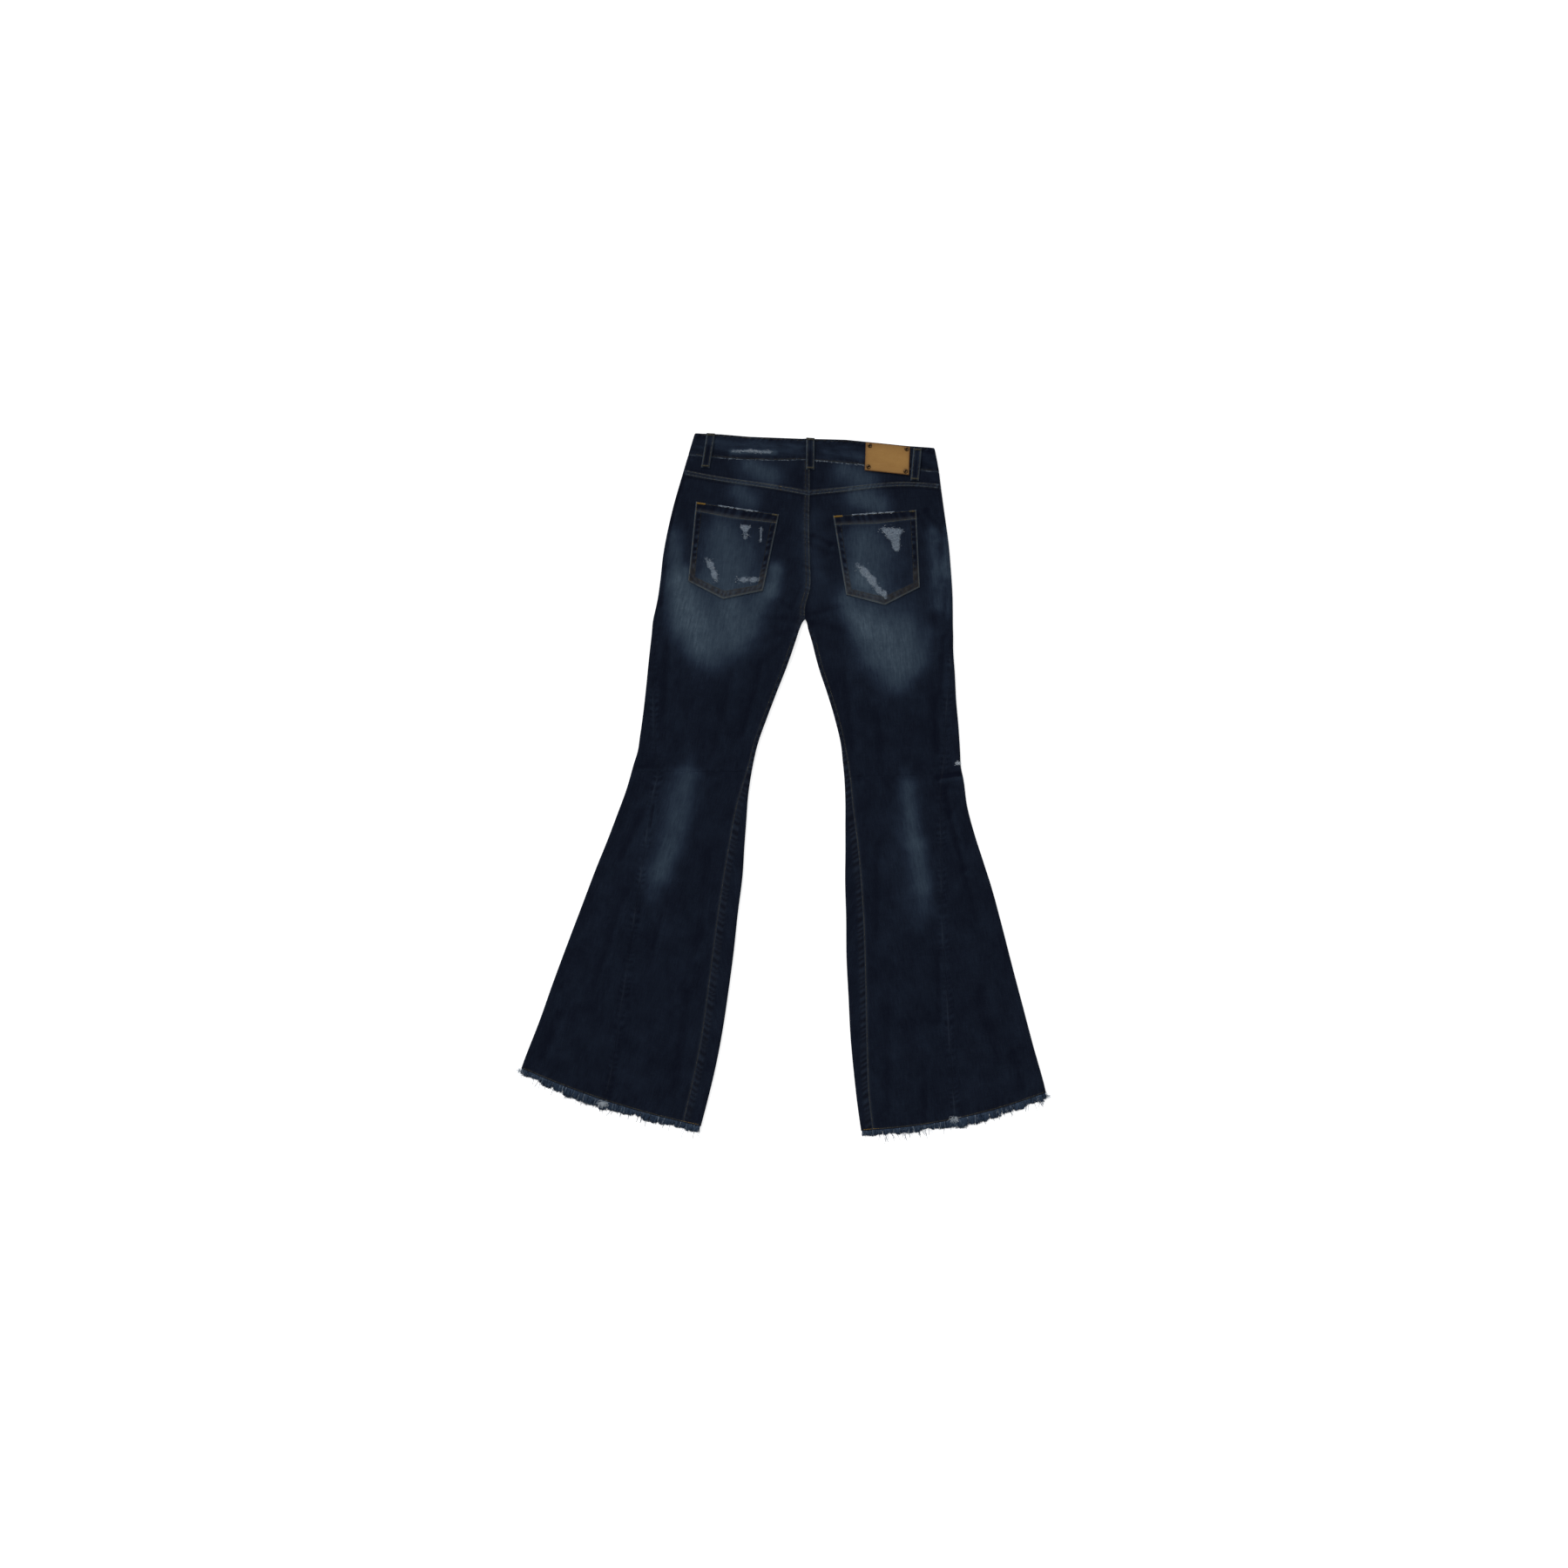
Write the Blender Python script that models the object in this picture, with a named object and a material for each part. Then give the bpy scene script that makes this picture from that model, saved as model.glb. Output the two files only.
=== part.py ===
"""Flared low-rise jeans with raw hems, laid flat with the back up.

The frame has X across the garment, +Y toward the waist and +Z up. The front of the jeans lies on the
surface z = 0, the back lies on the front. Each leg is a flattened tube of cloth: a row of cloth runs
across it from its inner edge to its outer edge, and a section of that row gives the height of the
wall. Sizes are in millimetres, and the meshes are made in metres.
"""

import math

import bpy
import numpy as np

METRES = 0.001

# Cloth
CLOTH = 1.2  # denim panel
BAND_CLOTH = 2.2  # waistband, two layers of denim
GAP = 0.3  # between neighbouring pieces
FOLD_SPAN = 3.4  # from the middle of the lower wall to the middle of the upper one, at a side fold
FOLD_FALL = 14.0  # way in from the fold over which the upper wall comes down
LEAST_INSET = 4.3  # a side seam lies at least this far in from the fold
EASE = 15.0  # strip of front panel that curls up below the crotch
WAIST_RISE = 1.5  # how far the waistband lifts the top of the back
WAIST_RISE_FROM = 452.0  # y where that lift starts
WAIST_RISE_TO = 488.0

# Lengths along the garment
MIDDLE_Y = -7.0  # y of the middle of the garment's box in the tables below, which becomes the origin
BAND_HEIGHT = 34.0
CROTCH_Y = 252.0
FORK_OPENS = 22.0  # below the crotch, where the back panel has drawn back to the inseam
FORK_CURLS = 44.0  # further down, over which the front panel curls round to it
FRONT_DIP = 18.0  # the front waist sits lower than the back waist

# Fly and button, on the hidden front
FLY_WIDTH = 38.0
FLY_GAP = 1.0
FLY_STRAIGHT_ROWS = 4  # rows of cloth below the waist before the facing's end curves in
FLY_LAST = 0.8  # the facing's tip, as a share of the last row
BUTTON_RADIUS = 8.5
BUTTON_HEIGHT = 2.0
BUTTON_AWAY = 18.0  # from centre front

# Trim
POCKET_CLOTH = 1.2
LOOP_WIDTH = 13.0
LOOP_CLOTH = 1.3
PATCH_LEATHER = 1.4
RIVET_RADIUS = 3.4
RIVET_HEIGHT = 1.0

# Fringe
FRINGE_BACKING = 1.8  # height of the strip of woven edge that the locks grow from
FRINGE_CLOTH = 0.8
LOCKS_A_LAYER = 60
LOCK_LENGTH = 13.0
LOCK_VARIES = 0.25
LOCK_TIP = 0.34  # width of a lock's tip, as a share of its root
LOCK_LEAN = 0.8  # sideways lean, as a share of what keeps a lock clear of the next one

# Cells of the walls
YOKE_ROWS = 2
SEAT_ROWS = 9
THIGH_ROWS = 11
BELL_ROWS = 16
UPPER_COLUMNS = 11
BELL_COLUMNS = 9
FLOOR_COLUMNS = 6
FOLD_STEPS = 4

LEFT = -1
RIGHT = 1
SIDE_NAME = {LEFT: "left", RIGHT: "right"}
WAIST, YOKE_SEAM, CROTCH, KNEE, HEM = 0, 1, 2, 3, 4


def smooth(x, xs, ys):
    """Cubic curve through the points (xs, ys), with the slope at each point taken from its neighbours."""
    slope = np.gradient(ys, xs)
    i = np.clip(np.searchsorted(xs, x) - 1, 0, len(xs) - 2)
    step = xs[i + 1] - xs[i]
    t = np.clip((x - xs[i]) / step, 0, 1)
    start = (2 * t**3 - 3 * t**2 + 1) * ys[i] + (t**3 - 2 * t**2 + t) * step * slope[i]
    end = (3 * t**2 - 2 * t**3) * ys[i + 1] + (t**3 - t**2) * step * slope[i + 1]
    return start + end


class Table:
    """Rows of sizes with named columns. The first column is the one it is read by."""

    def __init__(self, names, *rows):
        names = names.split()
        values = np.array(rows, float)
        values = values[np.argsort(values[:, 0])]
        self.key = values[:, 0]
        self.columns = dict(zip(names, values.T))

    def curve(self, key, name):
        return smooth(key, self.key, self.columns[name])

    def line(self, key, name):
        return np.interp(key, self.key, self.columns[name])


# Outline of the flat garment. outer is the half width over both legs about middle, fork is half the
# space between the legs about seat, and seat is the x of the seat seam and of centre front.
OUTLINE = Table(
    "y middle outer fork seat",
    (532, 1, 182, 0, -6),
    (500, -0.5, 190, 0, -6),
    (460, -2, 198.5, 0, -4),
    (420, -3, 207, 0, -3),
    (380, -3, 214.5, 0, -1),
    (340, -3, 220, 0, 2),
    (300, -2, 223.5, 0, 4),
    (270, -2.5, 226, 0, -2),
    (252, -3.5, 228, 0, -3.5),
    (240, -4, 229.5, 5.5, -3),
    (220, -4, 230.5, 12, -2),
    (180, -3, 234, 24, -1.5),
    (140, -2, 237, 38.5, -0.5),
    (100, -0.5, 241, 52, 0),
    (60, 0, 245, 63.5, -0.5),
    (40, 0, 247, 67, -1),
    (20, 0, 252, 70, -1),
    (-20, -1, 260.5, 74, -1),
    (-60, -1, 273, 75.5, -0.5),
    (-100, 0, 287, 77, 0),
    (-140, 0.5, 301.5, 78, 0.5),
    (-200, 0.5, 321, 82.5, 0.5),
    (-260, 0, 340, 86, 0.5),
    (-320, 0, 359, 91.5, 1),
    (-380, 0.5, 377.5, 97.5, 1),
    (-440, 0.5, 397.5, 106, 1),
    (-480, 0, 409, 113, 0.5),
    (-540, 0, 428, 125, 0),
)

# Rows of cloth across a leg, at the seams that cross it: the y of the row's two ends, and how far the
# row bows toward the waist at its middle.
ROWS = Table(
    "station outer_left inner_left bow_left outer_right inner_right bow_right",
    (WAIST, 494, 496, -4, 486, 495, 0),
    (YOKE_SEAM, 468, 445, 0, 465, 446, 8),
    (CROTCH, 252, 252, 0, 252, 252, 0),
    (KNEE, 7, 16, 0, 29, 15, 0),
    (HEM, -453, -528, -8, -451, -523, -12),
)

# Side seams where they show on the back, as distances from the garment's middle line. Above the first
# row both lie at the folds.
SEAMS = Table(
    "y outseam_left outseam_right inseam_left inseam_right",
    (240, 233, 229, 0, 0),
    (200, 233, 227, 14, 14),
    (140, 228, 222, 39, 39),
    (50, 220, 222, 69, 70),
    (10, 214, 219, 79, 78),
    (-30, 220, 220, 89, 84),
    (-100, 227, 224, 99, 96),
    (-200, 237, 230, 110, 108),
    (-300, 246, 241, 118, 116),
    (-400, 256, 251, 127, 123),
    (-460, 262, 258, 136, 128),
    (-530, 275, 268, 149, 139),
)

# Soft folds and fullness of the back, each a rounded ridge along a line.
FOLDS = (
    # name, start x, start y, end x, end y, half width, height
    ("left seat", -118, 250, -125, 160, 62, 3.4),
    ("right seat", 112, 240, 122, 150, 62, 3.4),
    ("left thigh", -152, 130, -160, 20, 44, 2.2),
    ("right thigh", 150, 120, 158, 30, 44, 2.2),
    ("left bell, inner flute", -160, -140, -196, -470, 32, 2.4),
    ("left bell, outer flute", -228, -110, -318, -430, 36, 3.0),
    ("right bell, inner flute", 172, -120, 190, -470, 34, 2.6),
    ("right bell, outer flute", 240, -150, 330, -440, 36, 2.8),
)

# Corners of the seat pockets, as the names say, and of the leather patch.
POCKETS = {
    LEFT: {
        "top_out": (-177, 424),
        "top_in": (-49, 411),
        "low_in": (-68, 293),
        "point": (-128, 277),
        "low_out": (-183, 302),
    },
    RIGHT: {
        "top_out": (160, 428),
        "top_in": (33, 413),
        "low_in": (59, 293),
        "point": (119, 280),
        "low_out": (171, 310),
    },
}
PATCH_CORNERS = {
    "top_left": (79, 527),
    "top_right": (145, 521),
    "low_right": (145, 481),
    "low_left": (79, 486),
}
RIVETS = ((84, 522), (140.5, 517.5), (83.5, 490), (140.5, 486))

# Belt loops: x and y of the middle of each end.
LOOPS = (
    # name, top x, top y, low x, low y
    ("belt_loop_left", -159, 529, -165, 476),
    ("belt_loop_centre", -7, 529.5, -5, 481),
    ("belt_loop_right", 157, 522, 155, 472),
)

# Colours as sRGB, roughness and metallic value.
FINISHES = {
    "denim": ((0.105, 0.125, 0.175), 0.92, 0.0),
    "denim_worn": ((0.190, 0.225, 0.285), 0.92, 0.0),
    "denim_band": ((0.095, 0.115, 0.160), 0.90, 0.0),
    "frayed_edge": ((0.420, 0.470, 0.540), 0.95, 0.0),
    "leather": ((0.620, 0.460, 0.240), 0.60, 0.0),
    "aged_brass": ((0.290, 0.180, 0.100), 0.45, 0.9),
    "button_metal": ((0.420, 0.380, 0.330), 0.40, 0.9),
}


# --- places on the flat garment


def row_ends(side, station):
    """Inner and outer end of a row of cloth, as points (x, y)."""
    name = SIDE_NAME[side]
    outer_y = ROWS.line(station, "outer_" + name)
    inner_y = ROWS.line(station, "inner_" + name)
    outer_x = OUTLINE.curve(outer_y, "middle") + side * OUTLINE.curve(outer_y, "outer")
    fork = max(0.0, OUTLINE.curve(inner_y, "fork")) if inner_y < CROTCH_Y else 0.0
    inner_x = OUTLINE.curve(inner_y, "seat") + side * (fork + GAP / 2)
    return np.array((inner_x, inner_y)), np.array((outer_x, outer_y))


def row_width(side, station):
    inner, outer = row_ends(side, station)
    return float(np.hypot(*(outer - inner)))


def row_up(side, station):
    """Unit vector across the row, toward the waist."""
    inner, outer = row_ends(side, station)
    along = (outer - inner) / np.hypot(*(outer - inner))
    return np.array((-along[1], along[0])) * (1 if along[0] > 0 else -1)


def on_row(side, station, away):
    """Points (x, y) on a row at distances away from its inner end: a line, plus a parabola for its bow."""
    inner, outer = row_ends(side, station)
    share = np.asarray(away, float) / np.hypot(*(outer - inner))
    bow = ROWS.line(station, "bow_" + SIDE_NAME[side]) * 4 * share * (1 - share)
    return inner + share[..., None] * (outer - inner) + bow[..., None] * row_up(side, station)


def seam_place(side, station, seam):
    """Distance along the row, from its inner end, where a side seam crosses it."""
    inner, outer = row_ends(side, station)
    width = row_width(side, station)
    away = width / 2
    for _ in range(8):
        y = on_row(side, station, away)[1]
        x = side * SEAMS.curve(y, seam + "_" + SIDE_NAME[side])
        away = width * (x - inner[0]) / (outer[0] - inner[0])
    return away


def below_crotch(side, station):
    return max(0.0, CROTCH_Y - row_ends(side, station)[0][1])


def outseam_at(side, station):
    """The outseam's place on its row, or just inside the fold where it lies at the edge."""
    width = row_width(side, station)
    if row_ends(side, station)[1][1] > 230:
        return width - LEAST_INSET
    return min(width - LEAST_INSET, seam_place(side, station, "outseam"))


def inseam_at(side, station):
    """The inseam's place on its row: 0 above the crotch, where the row ends in the seat seam."""
    opened = min(1.0, below_crotch(side, station) / FORK_OPENS)
    place = max(LEAST_INSET, seam_place(side, station, "inseam")) if opened == 1 else LEAST_INSET
    return opened * place


def lift(x, y):
    """Height that folds, fullness and the waistband add to the back."""
    rise = np.clip((y - WAIST_RISE_FROM) / (WAIST_RISE_TO - WAIST_RISE_FROM), 0, 1)
    height = WAIST_RISE * rise**2 * (3 - 2 * rise)
    for _, x0, y0, x1, y1, half_width, top in FOLDS:
        along = ((x - x0) * (x1 - x0) + (y - y0) * (y1 - y0)) / ((x1 - x0) ** 2 + (y1 - y0) ** 2)
        along = np.clip(along, 0, 1)
        off = np.hypot(x - x0 - along * (x1 - x0), y - y0 - along * (y1 - y0))
        height = height + top * np.exp(-((off / half_width) ** 2))
    return height


FOLD_RADIUS = FOLD_SPAN / 2
FOLD_ROOM = FOLD_RADIUS + CLOTH / 2  # from the edge to where the fold's curve ends


def fall(distance):
    """1 at a fold, falling to 0 at FOLD_FALL beyond its curve."""
    share = np.clip((distance - FOLD_ROOM) / FOLD_FALL, 0, 1)
    return 1 - share**2 * (3 - 2 * share)


def upper_middle(side, station, away):
    """Height of the middle of the upper wall."""
    points = on_row(side, station, away)
    flat = CLOTH + GAP + lift(points[..., 0], points[..., 1])
    opened = min(1.0, below_crotch(side, station) / FORK_OPENS)
    width = row_width(side, station)
    edge = np.maximum(fall(width - np.asarray(away)), opened * fall(np.asarray(away)))
    return CLOTH / 2 + flat + (FOLD_SPAN - flat) * edge


def back_top(x, y):
    """Height of the top of the back, away from its edges."""
    return 2 * CLOTH + GAP + lift(x, y)


def front_dip(share, station):
    """How far a point of the front sits below its place on the back: in a V, deepest at centre front."""
    fade = np.clip(1 - station / CROTCH, 0, 1)
    return FRONT_DIP * fade * (1 - np.clip(share, 0, 1))


# --- meshes


def finish_material(name, finish):
    colour, roughness, metallic = FINISHES[finish]
    material = bpy.data.materials.new(name)
    material.use_nodes = True
    shader = material.node_tree.nodes["Principled BSDF"]
    linear = [c / 12.92 if c <= 0.04045 else ((c + 0.055) / 1.055) ** 2.4 for c in colour]
    shader.inputs["Base Color"].default_value = (*linear, 1.0)
    shader.inputs["Roughness"].default_value = roughness
    shader.inputs["Metallic"].default_value = metallic
    material.diffuse_color = (*linear, 1.0)
    return material


def add_object(name, points, faces, finish):
    """A mesh object from points in millimetres. Faces are turned so that the body faces out."""
    points = np.asarray(points, float) - (0.0, MIDDLE_Y, 0.0)
    volume = 0.0
    for face in faces:
        for second, third in zip(face[1:-1], face[2:]):
            volume += np.dot(points[face[0]], np.cross(points[second], points[third]))
    if volume < 0:
        faces = [face[::-1] for face in faces]
    mesh = bpy.data.meshes.new(name)
    mesh.from_pydata((points * METRES).tolist(), [], [list(map(int, face)) for face in faces])
    mesh.validate()
    mesh.shade_smooth()
    mesh.set_sharp_from_angle(angle=math.radians(40))
    mesh.materials.append(finish_material(name, finish))
    thing = bpy.data.objects.new(name, mesh)
    bpy.context.collection.objects.link(thing)
    return thing


def wall_faces(rows, columns):
    """Faces of a closed wall of two sheets of rows x columns points, the first sheet facing one way."""
    index = np.arange(rows * columns).reshape(rows, columns)
    other = index + rows * columns
    quads = []
    for i in range(rows - 1):
        for j in range(columns - 1):
            quads.append((index[i, j], index[i, j + 1], index[i + 1, j + 1], index[i + 1, j]))
            quads.append((other[i, j], other[i + 1, j], other[i + 1, j + 1], other[i, j + 1]))
    border = [(0, j) for j in range(columns - 1)] + [(i, columns - 1) for i in range(rows - 1)]
    border += [(rows - 1, j) for j in range(columns - 1, 0, -1)] + [(i, 0) for i in range(rows - 1, 0, -1)]
    for (i, j), (k, m) in zip(border, border[1:] + border[:1]):
        quads.append((index[k, m], index[i, j], other[i, j], other[k, m]))
    return quads


def add_wall(name, outside, inside, finish):
    """A wall between two grids of points, closed round its border."""
    outside, inside = np.asarray(outside), np.asarray(inside)
    rows, columns = outside.shape[:2]
    points = np.concatenate([outside.reshape(-1, 3), inside.reshape(-1, 3)])
    return add_object(name, points, wall_faces(rows, columns), finish)


def stations(first, last, cells, trim_first=0.0, trim_last=0.0):
    """Row stations from one seam to the next, drawn back from either seam by a share of a millimetre."""
    length = abs(ROWS.line(last, "outer_left") - ROWS.line(first, "outer_left")) / (last - first)
    values = np.linspace(first, last, cells + 1)
    values[0] += trim_first / length
    values[-1] -= trim_last / length
    return values


def seat_rows():
    return stations(YOKE_SEAM, CROTCH, SEAT_ROWS)


def thigh_rows():
    return stations(CROTCH, KNEE, THIGH_ROWS, 0.0, GAP / 2)


# --- back panels, yokes


def back_panel(name, side, rows, columns, finish):
    """Upper wall between the seat seam or inseam and the outseam."""
    outside, inside = [], []
    for station in rows:
        first, last = inseam_at(side, station), outseam_at(side, station) - GAP / 2
        first = first + GAP / 2 if first > 0 else 0.0
        away = np.linspace(first, last, columns + 1)
        spots = on_row(side, station, away)
        middle = upper_middle(side, station, away)
        outside.append(np.column_stack([spots, middle + CLOTH / 2]))
        inside.append(np.column_stack([spots, middle - CLOTH / 2]))
    return add_wall(name, outside, inside, finish)


def make_backs(side):
    name = SIDE_NAME[side]
    yoke = stations(WAIST, YOKE_SEAM, YOKE_ROWS, GAP, GAP / 2)
    upper = np.concatenate([stations(YOKE_SEAM, CROTCH, SEAT_ROWS, GAP / 2), thigh_rows()[1:]])
    bell = stations(KNEE, HEM, BELL_ROWS, GAP / 2)
    back_panel("yoke_" + name, side, yoke, UPPER_COLUMNS, "denim")
    back_panel("back_upper_" + name, side, upper, UPPER_COLUMNS, "denim_worn")
    back_panel("back_bell_" + name, side, bell, BELL_COLUMNS, "denim")


# --- front panels, wrapped round the folds


def fly_rows(trim=0.0):
    """Rows of cloth from the waist to the fly's end."""
    rows = np.concatenate([stations(WAIST, YOKE_SEAM, YOKE_ROWS, trim)[:-1], seat_rows()])
    return rows[: FLY_STRAIGHT_ROWS + 3]


def fly_reach(station):
    """How far the fly facing reaches from centre front at a row: straight, then a quarter of an ellipse."""
    rows = fly_rows()
    turn = np.clip((np.arange(len(rows)) - FLY_STRAIGHT_ROWS) / 2, 0, 1)
    return float(np.interp(station, rows, FLY_WIDTH * np.sqrt(1 - turn**2)))


def front_section(side, station, outer_cells):
    """Middle line of the front panel's section, as distances along the row and heights.

    It runs from the inseam on the top, down round the inner fold, along the surface, up round the
    outer fold and back to the outseam. Above the crotch the inner end lies flat at centre front.
    """
    width = row_width(side, station)
    turned = np.linspace(0, math.pi, FOLD_STEPS + 1)[1:-1]
    depth = below_crotch(side, station)
    curl = np.clip((depth - FORK_OPENS) / FORK_CURLS, 0, 1)
    inseam = max(LEAST_INSET, inseam_at(side, station)) - GAP / 2
    beside_fly = side == LEFT and station <= fly_rows()[-1] + 1e-6
    start = fly_reach(station) + FLY_GAP if beside_fly else 0.0

    top_away = np.array([inseam, (inseam + FOLD_ROOM) / 2, FOLD_ROOM])
    arc_away = FOLD_ROOM - FOLD_RADIUS * np.sin(turned)
    arc_height = CLOTH / 2 + FOLD_RADIUS * (1 + np.cos(turned))
    curled = np.column_stack(
        [
            np.concatenate([top_away, arc_away, [FOLD_ROOM]]),
            np.concatenate([upper_middle(side, station, top_away), arc_height, [CLOTH / 2]]),
        ]
    )
    flat_away = start + np.linspace(0, EASE, len(curled))
    flat = np.column_stack([flat_away, np.full(len(curled), CLOTH / 2)])
    inner = (1 - curl) * flat + curl * curled

    floor_away = np.linspace(inner[-1, 0], width - FOLD_ROOM, FLOOR_COLUMNS + 1)[1:]
    floor = np.column_stack([floor_away, np.full(len(floor_away), CLOTH / 2)])

    outseam = outseam_at(side, station) + GAP / 2
    arc = np.column_stack([width - arc_away[::-1], arc_height[::-1]])
    last_away = np.linspace(width - FOLD_ROOM, outseam, outer_cells + 1)
    last = np.column_stack([last_away, upper_middle(side, station, last_away)])
    return np.concatenate([inner, floor, arc, last])


def offset_section(section, distance):
    """The section moved sideways by a distance, along the normal at each point."""
    ahead = np.gradient(section, axis=0)
    ahead = ahead / np.hypot(ahead[:, 0], ahead[:, 1])[:, None]
    return section + distance * np.column_stack([-ahead[:, 1], ahead[:, 0]])


def front_panel(name, side, rows, outer_cells, finish):
    outside, inside = [], []
    for station in rows:
        section = front_section(side, station, outer_cells)
        width = row_width(side, station)
        for sheet, distance in ((outside, -CLOTH / 2), (inside, CLOTH / 2)):
            line = offset_section(section, distance)
            spots = on_row(side, station, line[:, 0])
            low = np.clip((FOLD_SPAN + CLOTH / 2 - section[:, 1]) / FOLD_SPAN, 0, 1)
            spots[:, 1] -= low * front_dip(line[:, 0] / width, station)
            sheet.append(np.column_stack([spots, np.maximum(line[:, 1], 0.0)]))
    return add_wall(name, outside, inside, finish)


def make_fronts(side):
    name = SIDE_NAME[side]
    yoke = stations(WAIST, YOKE_SEAM, YOKE_ROWS, GAP)[:-1]
    upper = np.concatenate([yoke, seat_rows(), thigh_rows()[1:]])
    bell = stations(KNEE, HEM, BELL_ROWS, GAP / 2)
    front_panel("front_upper_" + name, side, upper, 2, "denim")
    front_panel("front_bell_" + name, side, bell, 4, "denim")


def make_fly():
    """Facing that fills the left front's cut at centre front, flat on the surface."""
    grid = []
    for station in fly_rows(GAP):
        away = np.linspace(0, fly_reach(station), 4)
        spots = on_row(LEFT, station, away)
        spots[:, 1] -= front_dip(away / row_width(LEFT, station), station)
        grid.append(spots)
    grid[-1] = grid[-2] + FLY_LAST * (grid[-1] - grid[-2])
    grid = np.array(grid)
    outside = np.concatenate([grid, np.zeros((*grid.shape[:2], 1))], axis=-1)
    inside = np.concatenate([grid, np.full((*grid.shape[:2], 1), CLOTH)], axis=-1)
    add_wall("fly_facing", outside, inside, "denim")


# --- waistband, with its button


BAND_RADIUS = FOLD_SPAN / 2
BAND_ROOM = BAND_RADIUS + BAND_CLOTH / 2
BAND_FLAT = BAND_CLOTH + GAP  # from middle to middle of its two walls, between the folds
BAND_TOP = 2 * BAND_CLOTH + GAP


def band_section(side):
    """Half of the waistband's section, from centre front on the surface to centre back on top."""
    width = row_width(side, WAIST)
    turned = np.linspace(0, math.pi, FOLD_STEPS + 1)[1:-1]
    floor_away = np.linspace(0, width - BAND_ROOM, FLOOR_COLUMNS + 3)
    arc_away = width - BAND_ROOM + BAND_RADIUS * np.sin(turned)
    arc_height = BAND_CLOTH / 2 + BAND_RADIUS * (1 - np.cos(turned))
    top_away = np.concatenate(
        [
            width - BAND_ROOM - np.linspace(0, FOLD_FALL, 4),
            np.linspace(width - BAND_ROOM - FOLD_FALL, 0, 9)[1:],
        ]
    )
    share = np.clip((width - BAND_ROOM - top_away) / FOLD_FALL, 0, 1)
    extra = (FOLD_SPAN - BAND_FLAT) * (1 - share**2 * (3 - 2 * share))
    top_height = BAND_CLOTH / 2 + BAND_FLAT + extra
    return np.concatenate(
        [
            np.column_stack([floor_away, np.full(len(floor_away), BAND_CLOTH / 2)]),
            np.column_stack([arc_away, arc_height]),
            np.column_stack([top_away, top_height]),
        ]
    )


def band_spots(side, away, up):
    """Points (x, y) of the waistband, up from the waist seam: the seam's row, drawn in with the outline."""
    spots = on_row(side, WAIST, away)
    width = row_width(side, WAIST)
    share = np.clip(away / width, 0, 1)
    end_y = spots[:, 1] + up
    drawn_in = side * (OUTLINE.curve(end_y, "outer") - OUTLINE.curve(spots[:, 1], "outer"))
    spots[:, 0] += share * drawn_in
    spots[:, 1] = end_y
    return spots


def make_waistband():
    sheets = ([], [])
    for up in (GAP / 2, 1.2, BAND_HEIGHT / 2, BAND_HEIGHT - 1.2, BAND_HEIGHT):
        soft = 0.35 if up in (GAP / 2, BAND_HEIGHT) else 0.0
        for sheet, distance in zip(sheets, (-BAND_CLOTH / 2 + soft, BAND_CLOTH / 2 - soft)):
            halves = []
            for side in (RIGHT, LEFT):
                section = band_section(side)
                line = offset_section(section, distance)
                spots = band_spots(side, line[:, 0], up)
                on_back = section[:, 1] > BAND_CLOTH / 2 + BAND_FLAT - 0.01
                low = np.clip((FOLD_SPAN + BAND_CLOTH / 2 - section[:, 1]) / FOLD_SPAN, 0, 1)
                share = line[:, 0] / row_width(side, WAIST)
                spots[:, 1] -= np.where(on_back, 0.0, low * front_dip(share, WAIST))
                halves.append(np.column_stack([spots, np.maximum(line[:, 1], 0)]))
            centre = (halves[0][-1] + halves[1][-1]) / 2
            ring = np.concatenate([halves[0][:-1], centre[None], halves[1][:-1][::-1]])
            sheet.append(ring)
    band = add_wall("waistband", *sheets, "denim_band")
    cut = cylinder("button_hole", button_place(), BUTTON_RADIUS + GAP, -1.0, BAND_CLOTH + GAP / 2, 20)
    cut.hide_render = True
    cut.display_type = "WIRE"
    hole = band.modifiers.new("button hole", "BOOLEAN")
    hole.operation = "DIFFERENCE"
    hole.solver = "EXACT"
    hole.object = cut


def button_place():
    spot = band_spots(LEFT, np.array([BUTTON_AWAY]), BAND_HEIGHT / 2)[0]
    share = BUTTON_AWAY / row_width(LEFT, WAIST)
    return spot[0], spot[1] - float(front_dip(share, WAIST))


def turned_body(name, place, profile, sides, finish):
    """A body of revolution about Z. The profile lists (radius, height) and starts and ends on the axis."""
    angles = np.linspace(0, 2 * math.pi, sides, endpoint=False)
    rings = profile[1:-1]
    points = [(place[0], place[1], profile[0][1])]
    for radius, height in rings:
        for angle in angles:
            x = place[0] + radius * math.cos(angle)
            y = place[1] + radius * math.sin(angle)
            points.append((x, y, height))
    points.append((place[0], place[1], profile[-1][1]))
    faces = []
    for k in range(sides):
        following = (k + 1) % sides
        faces.append((0, 1 + k, 1 + following))
        for ring in range(len(rings) - 1):
            low, high = 1 + ring * sides, 1 + (ring + 1) * sides
            faces.append((low + k, high + k, high + following, low + following))
        last = 1 + (len(rings) - 1) * sides
        faces.append((len(points) - 1, last + following, last + k))
    return add_object(name, points, faces, finish)


def cylinder(name, place, radius, low, high, sides):
    profile = ((0, high), (radius, high), (radius, low), (0, low))
    return turned_body(name, place, profile, sides, "button_metal")


def make_button():
    rim = BUTTON_RADIUS - 0.7
    profile = (
        (0, BUTTON_HEIGHT),
        (BUTTON_RADIUS, BUTTON_HEIGHT),
        (BUTTON_RADIUS, 0.7),
        (rim, 0.0),
        (rim - 1.6, 0.0),
        (rim - 2.4, 0.5),
        (0, 0.5),
    )
    turned_body("waist_button", button_place(), profile, 20, "button_metal")


# --- what lies on the back


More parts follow.
